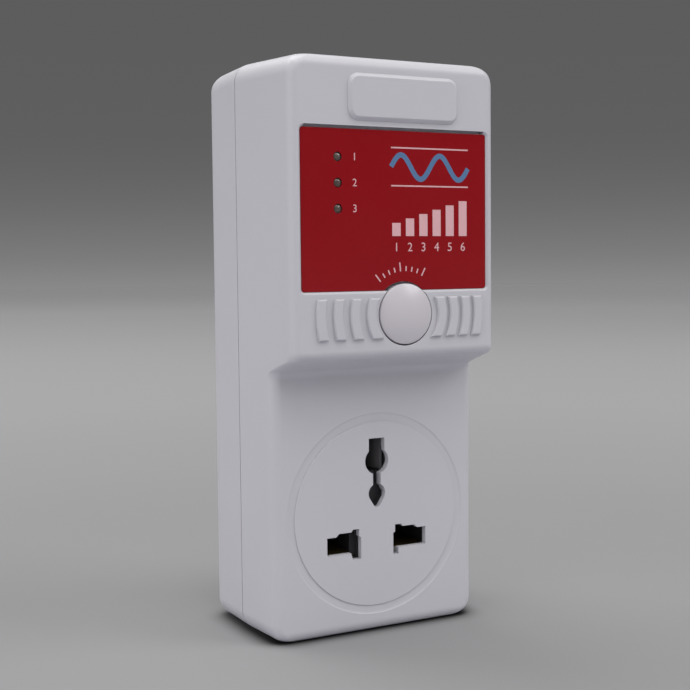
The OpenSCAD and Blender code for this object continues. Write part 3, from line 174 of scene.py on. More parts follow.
# Profile of a pin's end: set in by, back from the tip by
PIN_TIP = [(0, 2.4), (0.55, 1.1), (1.2, 0)]
PIN_FLANGE_OVER = 3.2
PIN_STUB_W = 3
SLEEVE_L = 9.5
SLEEVE_T = 0.5
PAD_H = 1.5
FLANGE_H = 1.5
GUIDE_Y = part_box("button_guide")[0].y / MM
BOARD_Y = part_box("main_board")[0].y / MM
BOARD_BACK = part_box("main_board")[1].y / MM
PLUNGER_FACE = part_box("switch_plunger")[0].y / MM
PAD_FACE = IN_BACK_Y - PAD_H
FLANGE_FACE = PAD_FACE - FLANGE_H
STUB_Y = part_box("earth_pin")[0].y / MM
EAR_X = 10.45
KEEP_Z = EARTH_Z - 5.2
PINS = [(-PIN_X, OUTLET_Z, PIN_W, PIN_T), (PIN_X, OUTLET_Z, PIN_W, PIN_T), (0, EARTH_Z, PIN_T, EARTH_H)]
CASE_POSTS = [(x, z) for x in (-22.3, 22.3) for z in (9.5, BODY_H - 10)]
BOARD_HOLES = [(x, z) for x in (-20.5, 20.5) for z in (61, 125)]
POST_FLOOR = 4.0
WELL_R = 3.5
WELL_BEVEL = 0.2
FRONT_POST_R = 4.0
FRONT_POST_BORE = 1.5
REAR_POST_R = 4.5
SCREW_HOLE_R = 1.9
SMALL_POST_R = 3.0
SMALL_POST_BORE = 1.1


def arc(cx, cy, r, a0, a1, n=ARC):
    """Points of a round stretch about (cx, cy), from angle a0 to a1 in degrees."""
    angles = [math.radians(a0 + (a1 - a0) * i / n) for i in range(n + 1)]
    return [(cx + r * math.cos(a), cy + r * math.sin(a)) for a in angles]


def inner_round(r, s):
    """Radius of a rounding for a skin that is set in by s."""
    return max(r - s, MIN_ROUND)


def root(r, d):
    """Second leg of a right triangle with hypotenuse r and leg d."""
    return math.sqrt(max(0.0, r * r - d * d))


class Ledge:
    """The sloping ledge over the socket, for a skin that is set in by s."""

    def __init__(self, s):
        slope = math.radians(LEDGE_SLOPE)
        self.tan, self.cos, self.s = math.tan(slope), math.cos(slope), s
        self.hollow_r = LEDGE_FILLET + s
        self.hollow_y = LOWER_Y + s - self.hollow_r
        self.hollow_z = self.at(self.hollow_y) - self.hollow_r / self.cos
        self.brow_r = inner_round(FRONT_ROUND, s)
        self.brow_y = UPPER_Y + s + self.brow_r
        self.brow_z = self.at(self.brow_y) + self.brow_r / self.cos

    def at(self, y):
        return LEDGE_Z + (LOWER_Y - y) * self.tan + self.s / self.cos

    def heights(self):
        low = arc(0, self.hollow_z, self.hollow_r, 0, 90 - LEDGE_SLOPE)
        high = arc(0, self.brow_z, self.brow_r, 270 - LEDGE_SLOPE, 180)
        return [p[1] for p in low + high]


def front_at(z, s):
    """Place of the front face at height z."""
    ledge, r = Ledge(s), inner_round(FRONT_ROUND, s)
    low, high = s + r, BODY_H - s - r
    if z < low:
        return LOWER_Y + s + r - root(r, low - z)
    if z < ledge.hollow_z:
        return LOWER_Y + s
    if z < ledge.hollow_z + ledge.hollow_r * ledge.cos:
        return ledge.hollow_y + root(ledge.hollow_r, z - ledge.hollow_z)
    if z < ledge.brow_z - ledge.brow_r * ledge.cos:
        return LOWER_Y - (z - LEDGE_Z - s / ledge.cos) / ledge.tan
    if z < ledge.brow_z:
        return ledge.brow_y - root(ledge.brow_r, ledge.brow_z - z)
    if z < high:
        return UPPER_Y + s
    return UPPER_Y + s + r - root(r, z - high)


def back_at(z, s):
    """Place of the rear shell's back at height z, drawn towards -Y from the seam."""
    r = inner_round(REAR_ROUND, s)
    low, high = s + r, BODY_H - s - r
    return SEAM_Y - REAR_D + s + r - root(r, max(low - z, z - high, 0))


def half_at(z, s):
    """Half the case's width at height z."""
    r = inner_round(CORNER_R, s)
    low, high = s + r, BODY_H - s - r
    return BODY_W / 2 - s - (r - root(r, max(low - z, z - high, 0)))


def end_heights(s):
    """Heights of the rings in the rounding at the case's bottom."""
    r = inner_round(CORNER_R, s)
    return [s + r * (1 - math.cos(math.pi / 2 * i / ARC)) for i in range(ARC + 1)]


def ring(half, y, r, z, draft, reach):
    """One ring of a shell, from one side of its rim round the face to the other."""
    flat = [(-half, RIM_Y)] + arc(-half + r, y + r, r, 180, 270)
    flat += arc(half - r, y + r, r, 270, 360) + [(half, RIM_Y)]
    points = []
    for px, py in flat:
        k = draft * (SEAM_Y - py) / reach
        points.append((px * (1 - k / (BODY_W / 2)), py, z * (1 - k / BODY_H)))
    return points


def front_rings(s):
    """Rings of the front shell's skin that is set in by s, from the bottom up."""
    heights = end_heights(s) + Ledge(s).heights() + [BODY_H - z for z in reversed(end_heights(s))]
    r = inner_round(FRONT_ROUND, s)
    return [ring(half_at(z, s), front_at(z, s), r, z, FRONT_DRAFT, SEAM_Y - UPPER_Y) for z in heights]


def rear_rings(s):
    """Rings of the rear shell's skin, drawn like the front's and then mirrored at the seam."""
    heights = end_heights(s) + [BODY_H - z for z in reversed(end_heights(s))]
    r = inner_round(REAR_ROUND, s)
    rings = [ring(half_at(z, s), back_at(z, s), r, z, REAR_DRAFT, REAR_D) for z in heights]
    return [[(x, 2 * SEAM_Y - y, z) for x, y, z in reversed(points)] for points in rings]


def make(name, verts, faces):
    """A mesh object from points in millimetres."""
    data = bpy.data.meshes.new(name)
    data.from_pydata([(x * MM, y * MM, z * MM) for x, y, z in verts], [], faces)
    data.validate()
    obj = bpy.data.objects.new(name, data)
    bpy.context.scene.collection.objects.link(obj)
    return obj


def skin(name, outer, inner):
    """An open shell: its outer rings, its inner rings, and the flat rim between their ends."""
    n, m = len(outer[0]), len(outer)
    in0, last, top = m * n, n - 1, (m - 1) * n
    faces = []
    for i in range(m - 1):
        a, b = i * n, (i + 1) * n
        for j in range(last):
            faces.append((a + j + 1, b + j + 1, b + j, a + j))
            faces.append((in0 + b + j, in0 + b + j + 1, in0 + a + j + 1, in0 + a + j))
        faces.append((in0 + a + last, in0 + b + last, b + last, a + last))
        faces.append((a, b, in0 + b, in0 + a))
    faces.append((0, in0, in0 + last, last))
    faces.append((in0 + top + last, in0 + top, top, top + last))
    faces.append(tuple(range(n))[::-1])
    faces.append(tuple(top + j for j in range(n)))
    faces.append(tuple(in0 + j for j in range(n)))
    faces.append(tuple(in0 + top + j for j in range(n))[::-1])
    return make(name, [p for r in outer + inner for p in r], faces)


def loft(name, rings, closed=False):
    """A solid through rings of points; closed joins the last ring to the first."""
    n, m = len(rings[0]), len(rings)
    faces = []
    for i in range(m if closed else m - 1):
        a, b = i * n, (i + 1) % m * n
        faces += [(a + j, b + j, b + (j + 1) % n, a + (j + 1) % n) for j in range(n)]
    if not closed:
        faces.append(tuple(range(n)))
        faces.append(tuple((m - 1) * n + j for j in range(n))[::-1])
    obj = make(name, [p for r in rings for p in r], faces)
    outward(obj)
    return obj


def outward(obj):
    """Turns a closed mesh's faces outward."""
    bm = bmesh.new()
    bm.from_mesh(obj.data)
    bmesh.ops.recalc_face_normals(bm, faces=bm.faces)
    if bm.calc_volume(signed=True) < 0:
        bmesh.ops.reverse_faces(bm, faces=bm.faces)
    bm.to_mesh(obj.data)
    bm.free()


def stack(name, outline, profile):
    """A solid along Y: outline(d) gives X and Z points set in by d, profile lists (d, y)."""
    return loft(name, [[(x, y, z) for x, z in outline(d)] for d, y in profile])


def turned(name, profile, x, z, steps):
    """A solid of revolution about a line along Y through (x, z); profile lists (radius, y)."""
    rings = []
    for i in range(steps):
        a = 2 * math.pi * i / steps
        rings.append([(x + r * math.cos(a), y, z + r * math.sin(a)) for r, y in profile])
    return loft(name, rings, closed=True)


def tube(bore, radius, y0, y1, x, z, steps):
    """A round post along Y with a bore."""
    return turned("tube", [(bore, y0), (radius, y0), (radius, y1), (bore, y1)], x, z, steps)


def round_rect(w, h, r, cx, cz, n=8):
    """Outline function of a rectangle with round corners, which keeps its count of points."""
    smallest = 0.05

    def outline(d):
        rr = max(r - d, smallest)
        x, z = w / 2 - d - rr, h / 2 - d - rr
        corners = [(x, z, 0), (-x, z, 90), (-x, -z, 180), (x, -z, 270)]
        return [p for ax, az, a in corners for p in arc(cx + ax, cz + az, rr, a, a + 90, n)]
    return outline


def boolean(obj, tool, operation):
    """Joins or cuts with a tool, which is used up."""
    modifier = obj.modifiers.new("cut", "BOOLEAN")
    modifier.operation = operation
    modifier.solver = "MANIFOLD"
    modifier.object = tool
    depsgraph = bpy.context.evaluated_depsgraph_get()
    fresh = bpy.data.meshes.new_from_object(obj.evaluated_get(depsgraph))
    obj.modifiers.clear()
    old, obj.data = obj.data, fresh
    bpy.data.meshes.remove(old)
    tool_data = tool.data
    bpy.data.objects.remove(tool)
    bpy.data.meshes.remove(tool_data)


def cut(obj, tool):
    boolean(obj, tool, "DIFFERENCE")


def add(obj, tool):
    boolean(obj, tool, "UNION")


def soften(obj, width, angle=32, weld=False):
    """Rounds the sharp edges of a piece a little and shades the rest smoothly."""
    obj.data.polygons.foreach_set("use_smooth", [True] * len(obj.data.polygons))
    if weld:
        modifier = obj.modifiers.new("weld", "WELD")
        modifier.merge_threshold = 1e-6
    modifier = obj.modifiers.new("edges", "BEVEL")
    modifier.width = width * MM
    modifier.segments = 2
    modifier.limit_method = "ANGLE"
    modifier.angle_limit = math.radians(angle)
    modifier.use_clamp_overlap = True
    modifier = obj.modifiers.new("normals", "WEIGHTED_NORMAL")
    modifier.keep_sharp = True
    modifier.weight = 80


def piece(obj, body, *nodes, slot=None):
    """Puts a modelled piece on a body; it stands for CAD nodes, which are hidden."""
    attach(obj, body)
    if nodes:
        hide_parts(*nodes)
    return obj


def paint(obj, material):
    obj.data.materials.clear()
    obj.data.materials.append(material)


# Materials


# Noise runs mostly between these two values
NOISE_LOW, NOISE_HIGH = 0.3, 0.7
NOISE_ROUGHNESS = 0.55


class Look:
    """A Principled material whose colour, roughness and bump come from noise."""

    def __init__(self, name, **sockets):
        self.material = bpy.data.materials.new(name)
        self.material.use_nodes = True
        self.tree = self.material.node_tree
        self.shader = self.tree.nodes["Principled BSDF"]
        self.where = self.add("ShaderNodeTexCoord").outputs["Object"]
        for socket, value in sockets.items():
            self.shader.inputs[socket.replace("_", " ")].default_value = value

    def add(self, kind, **settings):
        node = self.tree.nodes.new(kind)
        for key, value in settings.items():
            setattr(node, key, value)
        return node

    def link(self, out, into):
        self.tree.links.new(out, into)

    def noise(self, scale, detail, stretch=None):
        """Noise whose grains are about 1 / scale metres wide."""
        node = self.add("ShaderNodeTexNoise")
        node.inputs["Scale"].default_value = scale
        node.inputs["Detail"].default_value = detail
        node.inputs["Roughness"].default_value = NOISE_ROUGHNESS
        if stretch:
            mapping = self.add("ShaderNodeMapping")
            mapping.inputs["Scale"].default_value = stretch
            self.link(self.where, mapping.inputs["Vector"])
            self.link(mapping.outputs["Vector"], node.inputs["Vector"])
        else:
            self.link(self.where, node.inputs["Vector"])
        return node.outputs["Fac"]

    def colour(self, fac, a, b):
        """Base colour that runs from a to b with the noise."""
        ramp = self.add("ShaderNodeValToRGB")
        ramp.color_ramp.elements[0].position = NOISE_LOW
        ramp.color_ramp.elements[0].color = (*a, 1)
        ramp.color_ramp.elements[1].position = NOISE_HIGH
        ramp.color_ramp.elements[1].color = (*b, 1)
        self.link(fac, ramp.inputs["Fac"])
        self.link(ramp.outputs["Color"], self.shader.inputs["Base Color"])

    def rough(self, fac, low, high):
        """Roughness that runs from low to high with the noise."""
        ramp = self.add("ShaderNodeMapRange")
        ramp.inputs["From Min"].default_value = NOISE_LOW
        ramp.inputs["From Max"].default_value = NOISE_HIGH
        ramp.inputs["To Min"].default_value = low
        ramp.inputs["To Max"].default_value = high
        self.link(fac, ramp.inputs["Value"])
        self.link(ramp.outputs["Result"], self.shader.inputs["Roughness"])

    def bump(self, fac, height):
        """Relief of the given height in millimetres."""
        node = self.add("ShaderNodeBump")
        node.inputs["Distance"].default_value = height * MM
        node.inputs["Strength"].default_value = 1.0
        self.link(fac, node.inputs["Height"])
        previous = self.shader.inputs["Normal"].links
        if previous:
            self.link(previous[0].from_socket, node.inputs["Normal"])
        self.link(node.outputs["Normal"], self.shader.inputs["Normal"])


def moulded(name, colour, rough, spread=0.03, grain=1400, relief=0.004, **sockets):
    """Moulded plastic: a faint drift in colour, fine grain and slightly uneven gloss."""
    look = Look(name, **sockets)
    drift = look.noise(18, 5)
    dark = tuple(c * (1 - spread) for c in colour)
    light = tuple(min(1, c * (1 + spread)) for c in colour)
    look.colour(drift, dark, light)
    look.rough(look.noise(90, 2), rough - 0.02, rough + 0.02)
    look.bump(look.noise(grain, 2), relief)
    return look


def metal(name, colour, rough, brush=(1, 1, 1), grain=700, relief=0.003):
    """Plated or drawn metal; its fine marks can be stretched along a direction by brush."""
    look = Look(name, Metallic=1.0)
    marks = look.noise(grain, 1, stretch=brush)
    darker = 0.06
    look.colour(look.noise(160, 2), tuple(c * (1 - darker) for c in colour), colour)
    look.rough(marks, rough - 0.04, rough + 0.05)
    look.bump(marks, relief)
    return look


SHELL = (0.475, 0.468, 0.495)
looks = {
    "shell_white": moulded("case_plastic", SHELL, 0.4, 0.015, 1500, 0.004, Specular_IOR_Level=0.4),
    "button_white": moulded("button_plastic", (0.5, 0.475, 0.5), 0.3, 0.02, 1500, 0.003,
                            Specular_IOR_Level=0.7),
    "carrier_grey": moulded("contact_carrier_moulding", (0.035, 0.035, 0.038), 0.5),
    "cover_grey": moulded("inner_dark_moulding", (0.07, 0.07, 0.075), 0.5),
    "guide_grey": moulded("inner_pale_moulding", (0.52, 0.52, 0.54), 0.45),
    "sleeve_black": moulded("pin_sleeve_plastic", (0.02, 0.02, 0.022), 0.42),
    "chip_black": moulded("moulded_resin", (0.02, 0.02, 0.022), 0.48, 0.1, 2600, 0.01),
    "plunger_red": moulded("plunger_plastic", (0.42, 0.05, 0.03), 0.4),
    "relay_blue": moulded("relay_cover_plastic", (0.03, 0.09, 0.30), 0.25),
    "base_blue": moulded("relay_base_plastic", (0.02, 0.05, 0.17), 0.4),
    "can_blue": moulded("capacitor_sleeve", (0.012, 0.018, 0.08), 0.24),
    "mains_yellow": moulded("capacitor_box", (0.62, 0.44, 0.03), 0.32),
    "disc_blue": moulded("varistor_lacquer", (0.02, 0.09, 0.32), 0.26, 0.1, 500, 0.03),
    "ceramic_tan": moulded("resistor_coating", (0.48, 0.34, 0.16), 0.4, 0.08),
    "fuse_white": moulded("fuse_ceramic", (0.62, 0.62, 0.56), 0.5),
    "trimmer_blue": moulded("trimmer_plastic", (0.03, 0.10, 0.42), 0.38),
    "wire_brown": moulded("brown_wire_sleeve", (0.12, 0.045, 0.018), 0.36),
    "wire_blue": moulded("blue_wire_sleeve", (0.02, 0.08, 0.36), 0.36),
    "wire_green": moulded("green_wire_sleeve", (0.06, 0.30, 0.05), 0.36),
    "brass": metal("brass_strip", (0.70, 0.51, 0.21), 0.27, (1, 0.06, 1), 1800, 0.0008),
    # The contacts' brass and tin are much darker than the pins' metal: painted shade for the dark inside of
    # the socket
    "brass_darkened_as_shade": metal("spring_brass_painted_shade", (0.34, 0.25, 0.11), 0.42, (0.2, 1, 0.2)),
    "tin_darkened_as_shade": moulded("tin_painted_shade", (0.22, 0.21, 0.215), 0.45, 0.1, Metallic=0.3),
    "steel": metal("zinc_plated_steel", (0.60, 0.60, 0.62), 0.3),
    "spring_steel": metal("spring_wire", (0.52, 0.52, 0.54), 0.24),
    "relay_iron": metal("relay_iron", (0.42, 0.42, 0.44), 0.36),
    "solder": metal("solder", (0.58, 0.58, 0.60), 0.2, (1, 1, 1), 300, 0.02),
    "copper_wire": metal("enamelled_copper", (0.50, 0.19, 0.05), 0.32, (1, 14, 14), 900, 0.02),
    "core_black": metal("core_sheets", (0.10, 0.10, 0.11), 0.45, (1, 1, 24), 500, 0.02),
    "board_brown": moulded("phenolic_board", (0.32, 0.20, 0.07), 0.42, 0.08, 900, 0.006),
}


def label_look():
    """Glossy red printed sheet: an even red with a slight drift and fine orange-peel gloss."""
    look = Look("label_print", Coat_Weight=0.08, Coat_Roughness=0.08, Specular_IOR_Level=0.25)
    look.colour(look.noise(28, 5), (0.215, 0.003, 0.006), (0.235, 0.004, 0.0075))
    look.rough(look.noise(60, 4), 0.14, 0.2)
    look.bump(look.noise(900, 2), 0.0012)
    return look


def lens_look():
    """Smoky resin of the lamps."""
    look = Look("lamp_resin", Transmission_Weight=0.5, IOR=1.5)
    look.colour(look.noise(900, 3), (0.13, 0.10, 0.085), (0.19, 0.14, 0.12))
    look.rough(look.noise(500, 3), 0.08, 0.2)
    return look


looks["label_red"] = label_look()
looks["lamp_lens"] = lens_look()
ink = moulded("white_print", (0.62, 0.36, 0.375), 0.4, 0.04, 1200, 0.003)
blue_ink = moulded("blue_print", (0.075, 0.16, 0.30), 0.4, 0.06, 1200, 0.003)


# Front shell


def rib_outline(side, r_in, r_out, low, high):
    """Outline function of one arched rib on one side of the button."""
    steps = 16

    def outline(d):
        zs = [low + d + (high - low - 2 * d) * i / steps for i in range(steps + 1)]
        outer = [(side * root(r_out - d, z), z) for z in zs]
        inner = [(side * root(r_in + d, z), z) for z in reversed(zs)]
        return [(BUTTON_X + x, BUTTON_Z + z) for x, z in outer + inner]
    return outline


def raised(name, outline, edge):
    """A plate on the upper face with the given profile of its edge."""
    return stack(name, outline, [(0, UPPER_Y + OVER)] + [(d, UPPER_Y - out) for d, out in edge])


def add_ribs(shell):
    low = -RIB_LOWER - RIB_H / 2
    for side, start, pitch in RIB_SIDES:
        for i in range(RIB_COUNT):
            r = start + i * pitch
            add(shell, raised("rib", rib_outline(side, r, r + RIB_W, low, low + RIB_H), RIB_EDGE))


def add_plaque(shell):
    outline = round_rect(PLAQUE_W, PLAQUE_H, PLAQUE_R, PLAQUE_X, PLAQUE_Z)
    add(shell, raised("plaque", outline, PLAQUE_EDGE))


def drill(shell, x, z, y0, y1, r, steps):
    """Cuts a round hole along Y."""
    cut(shell, tube(AXIS, r, y0, y1, x, z, steps))


def prism(name, points, y0, y1):
    """A solid with the given X and Z outline from y0 to y1."""
    return loft(name, [[(x, y, z) for x, z in points] for y in (y0, y1)])


def blade_points(side, foot_w, foot_bevel):
    """Outline of a line or neutral slot, which also takes other common plugs."""
    half, end = PIN_T / 2 + SLOT_SLIP, PIN_X + PIN_W / 2 + SLOT_SLIP
    near, top_in, top_out, step_in, step_out = 4.75, 5.3, 7.1, 7.6, 11.1
    top, step, notch, shoulder, foot, heel = 3.75, 3.1, 1.875, 1.6, -3.95, -2.5
    inside = near + foot_w
    points = [(end, half), (step_out + 0.9, half), (step_out, step), (step_in, step),
              (top_out, top), (top_in, top), (top_in, notch), (near, shoulder), (near, foot),
              (inside, foot), (inside + foot_bevel, heel), (inside + foot_bevel, -half), (end, -half)]
    return [(side * x, OUTLET_Z + z) for x, z in points]


def earth_points():
    """Outline of the earth slot: a rectangle, a round hole, a neck and a smaller hole."""
    half, top = PIN_T / 2 + SLOT_SLIP, EARTH_H / 2 + SLOT_SLIP
    round_r, round_z, neck, low_r, low_z = 3.4, -1.5, 1.15, 2.45, -9.8
    tip_r, tip_z = 1.1, -12.3
    meet = math.degrees(math.acos(half / round_r))
    leave = math.degrees(math.asin(neck / round_r))
    enter = math.degrees(math.asin(neck / low_r))
    side = -math.degrees(math.asin((low_r - tip_r) / (low_z - tip_z)))
    right = [(half, top)] + arc(0, round_z, round_r, meet, -90 + leave, 20)
    right += arc(0, low_z, low_r, 90 - enter, side, 12) + arc(0, tip_z, tip_r, side, -89, 8)
    left = [(-x, z) for x, z in reversed(right)]
    return [(x, EARTH_Z + z) for x, z in right + left]


def cut_socket(shell):
    """The slots, hollowed behind so that their lips are thin, and the groove of the ring."""
    slots = [(blade_points(1, 1.6, 0), BLADE_MIDDLE, OUTLET_Z),
             (blade_points(-1, 2.4, 0.5), -BLADE_MIDDLE, OUTLET_Z),
             (earth_points(), 0, EARTH_Z + EARTH_MIDDLE)]
    for points, _, _ in slots:
        cut(shell, prism("slot", points, LOWER_Y - OVER, IN_LOWER_Y + OVER))
    for points, x, z in slots:
        wide = [(x + (px - x) * SLOT_HOLLOW, z + (pz - z) * SLOT_HOLLOW) for px, pz in points]
        cut(shell, prism("hollow", wide, LOWER_Y + SLOT_LIP, IN_LOWER_Y + OVER))
    edge, foot = RING_R + RING_W, RING_R + RING_W - RING_SLOPE
    in_w, in_deep, out_w, out_deep = 0.06, 0.07, 0.05, 0.04
    groove = [(RING_R - in_w, LOWER_Y - OVER), (RING_R - in_w, LOWER_Y), (RING_R, LOWER_Y + in_deep),
              (RING_R, LOWER_Y + RING_DEEP), (foot, LOWER_Y + RING_DEEP),
              (edge - out_w, LOWER_Y + out_deep), (edge, LOWER_Y), (edge, LOWER_Y - OVER)]
    cut(shell, turned("groove", groove, 0, RING_Z, 160))


def front_shell():
    """The front shell: posts, plaque and ribs added, then recess, button hole, lamps and socket cut."""
    shell = skin("front_case", front_rings(0), front_rings(WALL))
    outward(shell)
    for x, z in CASE_POSTS:
        start = (IN_UPPER_Y if z > LEDGE_Z else IN_LOWER_Y) - OVER
        add(shell, tube(FRONT_POST_BORE, FRONT_POST_R, start, SEAM_Y, x, z, 40))
    add_plaque(shell)
    add_ribs(shell)
    recess = round_rect(LABEL_W, LABEL_H, LABEL_R, 0, LABEL_Z + LABEL_H / 2)
    mouth = [(-LABEL_CHAMFER, UPPER_Y - OVER), (-LABEL_CHAMFER, UPPER_Y),
             (0, UPPER_Y + LABEL_CHAMFER), (0, UPPER_Y + LABEL_DEEP)]
    cut(shell, stack("recess", recess, mouth))
    half, low, high = LABEL_W / 2 - LABEL_R, LABEL_TOP - LABEL_GAP, LABEL_TOP + LABEL_SLIT
    slit = [(-half, low), (half, low), (half, high), (-half, high)]
    cut(shell, prism("slit", slit, UPPER_Y - OVER, UPPER_Y + LABEL_SLIT_DEEP))
    bevel_w, bevel_deep = 0.05, 0.06
    flange_r, flange_end = HOLE_R + FLANGE_OVER, IN_UPPER_Y + FLANGE_DEEP
    hole = [(AXIS, UPPER_Y - 2), (HOLE_R + bevel_w, UPPER_Y - 2), (HOLE_R + bevel_w, UPPER_Y),
            (HOLE_R, UPPER_Y + bevel_deep), (HOLE_R, IN_UPPER_Y),
            (flange_r, IN_UPPER_Y), (flange_r, flange_end), (AXIS, flange_end)]
    cut(shell, turned("hole", hole, BUTTON_X, BUTTON_Z, 96))
    rise = math.degrees(math.asin((LABEL_Z - BUTTON_Z) / NOTCH_R))
    pocket = arc(NOTCH_X, BUTTON_Z, NOTCH_R, rise, 180 - rise, 24)
    cut(shell, prism("pocket", pocket, UPPER_Y + LABEL_DEEP - OVER, IN_UPPER_Y - POCKET_FLOOR))
    for z in LED_ZS:
        drill(shell, LED_X, z, UPPER_Y - OVER, IN_UPPER_Y + OVER, LED_R + 0.1, 40)
    cut_socket(shell)
    soften(shell, 0.1)
    paint(shell, looks["shell_white"].material)
    return piece(shell, "root", "front_shell", slot="shell_white")


def rear_shell():
    """The rear shell: lip, posts and pads added, then pin slits, screw holes and screw wells cut."""
    shell = skin("rear_case", rear_rings(0), rear_rings(WALL))
    outward(shell)
    add(shell, seam_lip())
    end = IN_BACK_Y + OVER
    for x, z in CASE_POSTS:
        add(shell, tube(AXIS, REAR_POST_R, SEAM_Y, end, x, z, 40))
    for x, z in BOARD_HOLES:
        add(shell, tube(SMALL_POST_BORE, SMALL_POST_R, BOARD_BACK, end, x, z, 32))
    for x in (-EAR_X, EAR_X):
        add(shell, tube(SMALL_POST_BORE, SMALL_POST_R, FLANGE_FACE, end, x, KEEP_Z, 32))
    pad_over, slit_over = 6, 0.4
    for x, z, w, h in PINS:
        pad = round_rect(w + pad_over, h + pad_over, 1, x, z, 4)
        add(shell, stack("pad", pad, [(0, PAD_FACE), (0, end)]))
    for x, z, w, h in PINS:
        slit = round_rect(w + slit_over, h + slit_over, 0.06, x, z, 2)
        cut(shell, stack("slit", slit, [(0, PAD_FACE - OVER), (0, BACK_Y + OVER)]))
    for x, z in CASE_POSTS:
        drill(shell, x, z, SEAM_Y - 2, BACK_Y + OVER, SCREW_HOLE_R, 40)
        floor_y, mouth_r = SEAM_Y + POST_FLOOR, WELL_R + WELL_BEVEL
        well = [(AXIS, floor_y), (WELL_R, floor_y), (WELL_R, BACK_Y - WELL_BEVEL), (mouth_r, BACK_Y),
                (mouth_r, BACK_Y + OVER), (AXIS, BACK_Y + OVER)]
        cut(shell, turned("well", well, x, z, 48))
    soften(shell, 0.12)
    paint(shell, looks["shell_white"].material)
    return piece(shell, "root", "rear_shell", slot="shell_white")


def seam_lip():
    """The ring that stands inside the front shell's rim."""
    inset, thick, high = WALL + 0.1, 1.0, 1.6
    y0, y1 = SEAM_Y - high, SEAM_Y + SEAM_GAP + OVER
    outline = round_rect(BODY_W - 2 * inset, BODY_H - 2 * inset, CORNER_R - WALL, 0, BODY_H / 2)
    profile = [(0, y0), (thick, y0), (thick, y1), (0, y1)]
    return loft("lip", [[(x, y, z) for x, z in outline(d)] for d, y in profile], closed=True)


def label_plate():
    """The red sheet, with a notch over the button and a window over each lamp."""
    y0, y1 = UPPER_Y + LABEL_DEEP - LABEL_T, UPPER_Y + LABEL_DEEP
    w, h = LABEL_W - 2 * LABEL_GAP, LABEL_H - 2 * LABEL_GAP
    outline = round_rect(w, h, LABEL_R, 0, LABEL_Z + LABEL_H / 2)
    plate = stack("label_sheet", outline, [(0.05, y0), (0, y0 + 0.05), (0, y1)])
    drill(plate, NOTCH_X, BUTTON_Z, y0 - OVER, y1 + OVER, NOTCH_R, 96)
    for z in LED_ZS:
        drill(plate, LED_X, z, y0 - OVER, y1 + OVER, LED_VIEW_R, 40)
    soften(plate, 0.03)
    paint(plate, looks["label_red"].material)
    piece(plate, "root", "label_plate", slot="label_red")


def lamp(node, z):
    """A domed resin lamp with a dark cup inside it, and its two leads."""
    tip, base = UPPER_Y + LED_TIP, UPPER_Y + LED_TIP + LED_L
    dome = arc(0, 0, LED_R, 90, 0, 12)
    profile = [(max(x, AXIS), tip + LED_R - y) for x, y in dome]
    profile += [(LED_R, base - LED_RIM_H), (LED_RIM_R, base - LED_RIM_H), (LED_RIM_R, base), (AXIS, base)]
    lens = turned(node + "_lens", profile, LED_X, z, 48)
    soften(lens, 0.03)
    paint(lens, looks["lamp_lens"].material)
    piece(lens, "root", node, slot="lamp_lens")
    cup_points = [(AXIS, 2.2), (0.35, 2.3), (0.7, 2.9), (0.78, 2.85), (0.6, 1.4), (AXIS, 1.4)]
    cup = turned(node + "_cup", [(r, base - high) for r, high in cup_points], LED_X, z, 24)
    soften(cup, 0.02)
    paint(cup, looks["relay_iron"].material)
    piece(cup, "root")
    for side in (-1, 1):
        outline = round_rect(LEAD_T, LEAD_T, 0.08, LED_X + side * LEAD_X, z, 2)
        lead = stack(node + "_lead", outline, [(0, base - LEAD_IN), (0, BOARD_Y)])
        soften(lead, 0.02)
        paint(lead, looks["steel"].material)
        piece(lead, "root")


def bypass_button():
    """The domed cap with its flange behind the front and its stem to the switch."""
    top, reach = UPPER_Y - BUTTON_PROUD, BUTTON_R - DOME_RIM
    steps = 16
    crown = [(reach * i / steps, top + DOME_H * (i / steps) ** DOME_POWER) for i in range(steps + 1)]
    edge = math.atan(DOME_POWER * DOME_H / reach)
    rim_x, rim_y = reach - DOME_RIM * math.sin(edge), crown[-1][1] + DOME_RIM * math.cos(edge)
    turn = arc(rim_x, rim_y, DOME_RIM, -90 + math.degrees(edge), 0, 8)
    profile = [(AXIS, top)] + crown[1:] + turn[1:]
    profile = [(r * BUTTON_R / turn[-1][0], y) for r, y in profile]
    flange_r, flange_end = HOLE_R + BUTTON_FLANGE, IN_UPPER_Y + BUTTON_FLANGE_T
    inner, ceiling, stem = BUTTON_R - BUTTON_WALL, top + BUTTON_TOP_T, BUTTON_STEM_R
    profile += [(BUTTON_R, IN_UPPER_Y), (flange_r, IN_UPPER_Y), (flange_r, flange_end), (inner, flange_end),
                (inner, ceiling), (stem, ceiling), (stem, PLUNGER_FACE), (AXIS, PLUNGER_FACE)]
    cap = turned("button_cap", profile, BUTTON_X + BUTTON_LEAN, BUTTON_Z + BUTTON_LEAN, 128)
    soften(cap, 0.1, angle=50)
    paint(cap, looks["button_white"].material)
    piece(cap, "button", "bypass_button", slot="button_white")


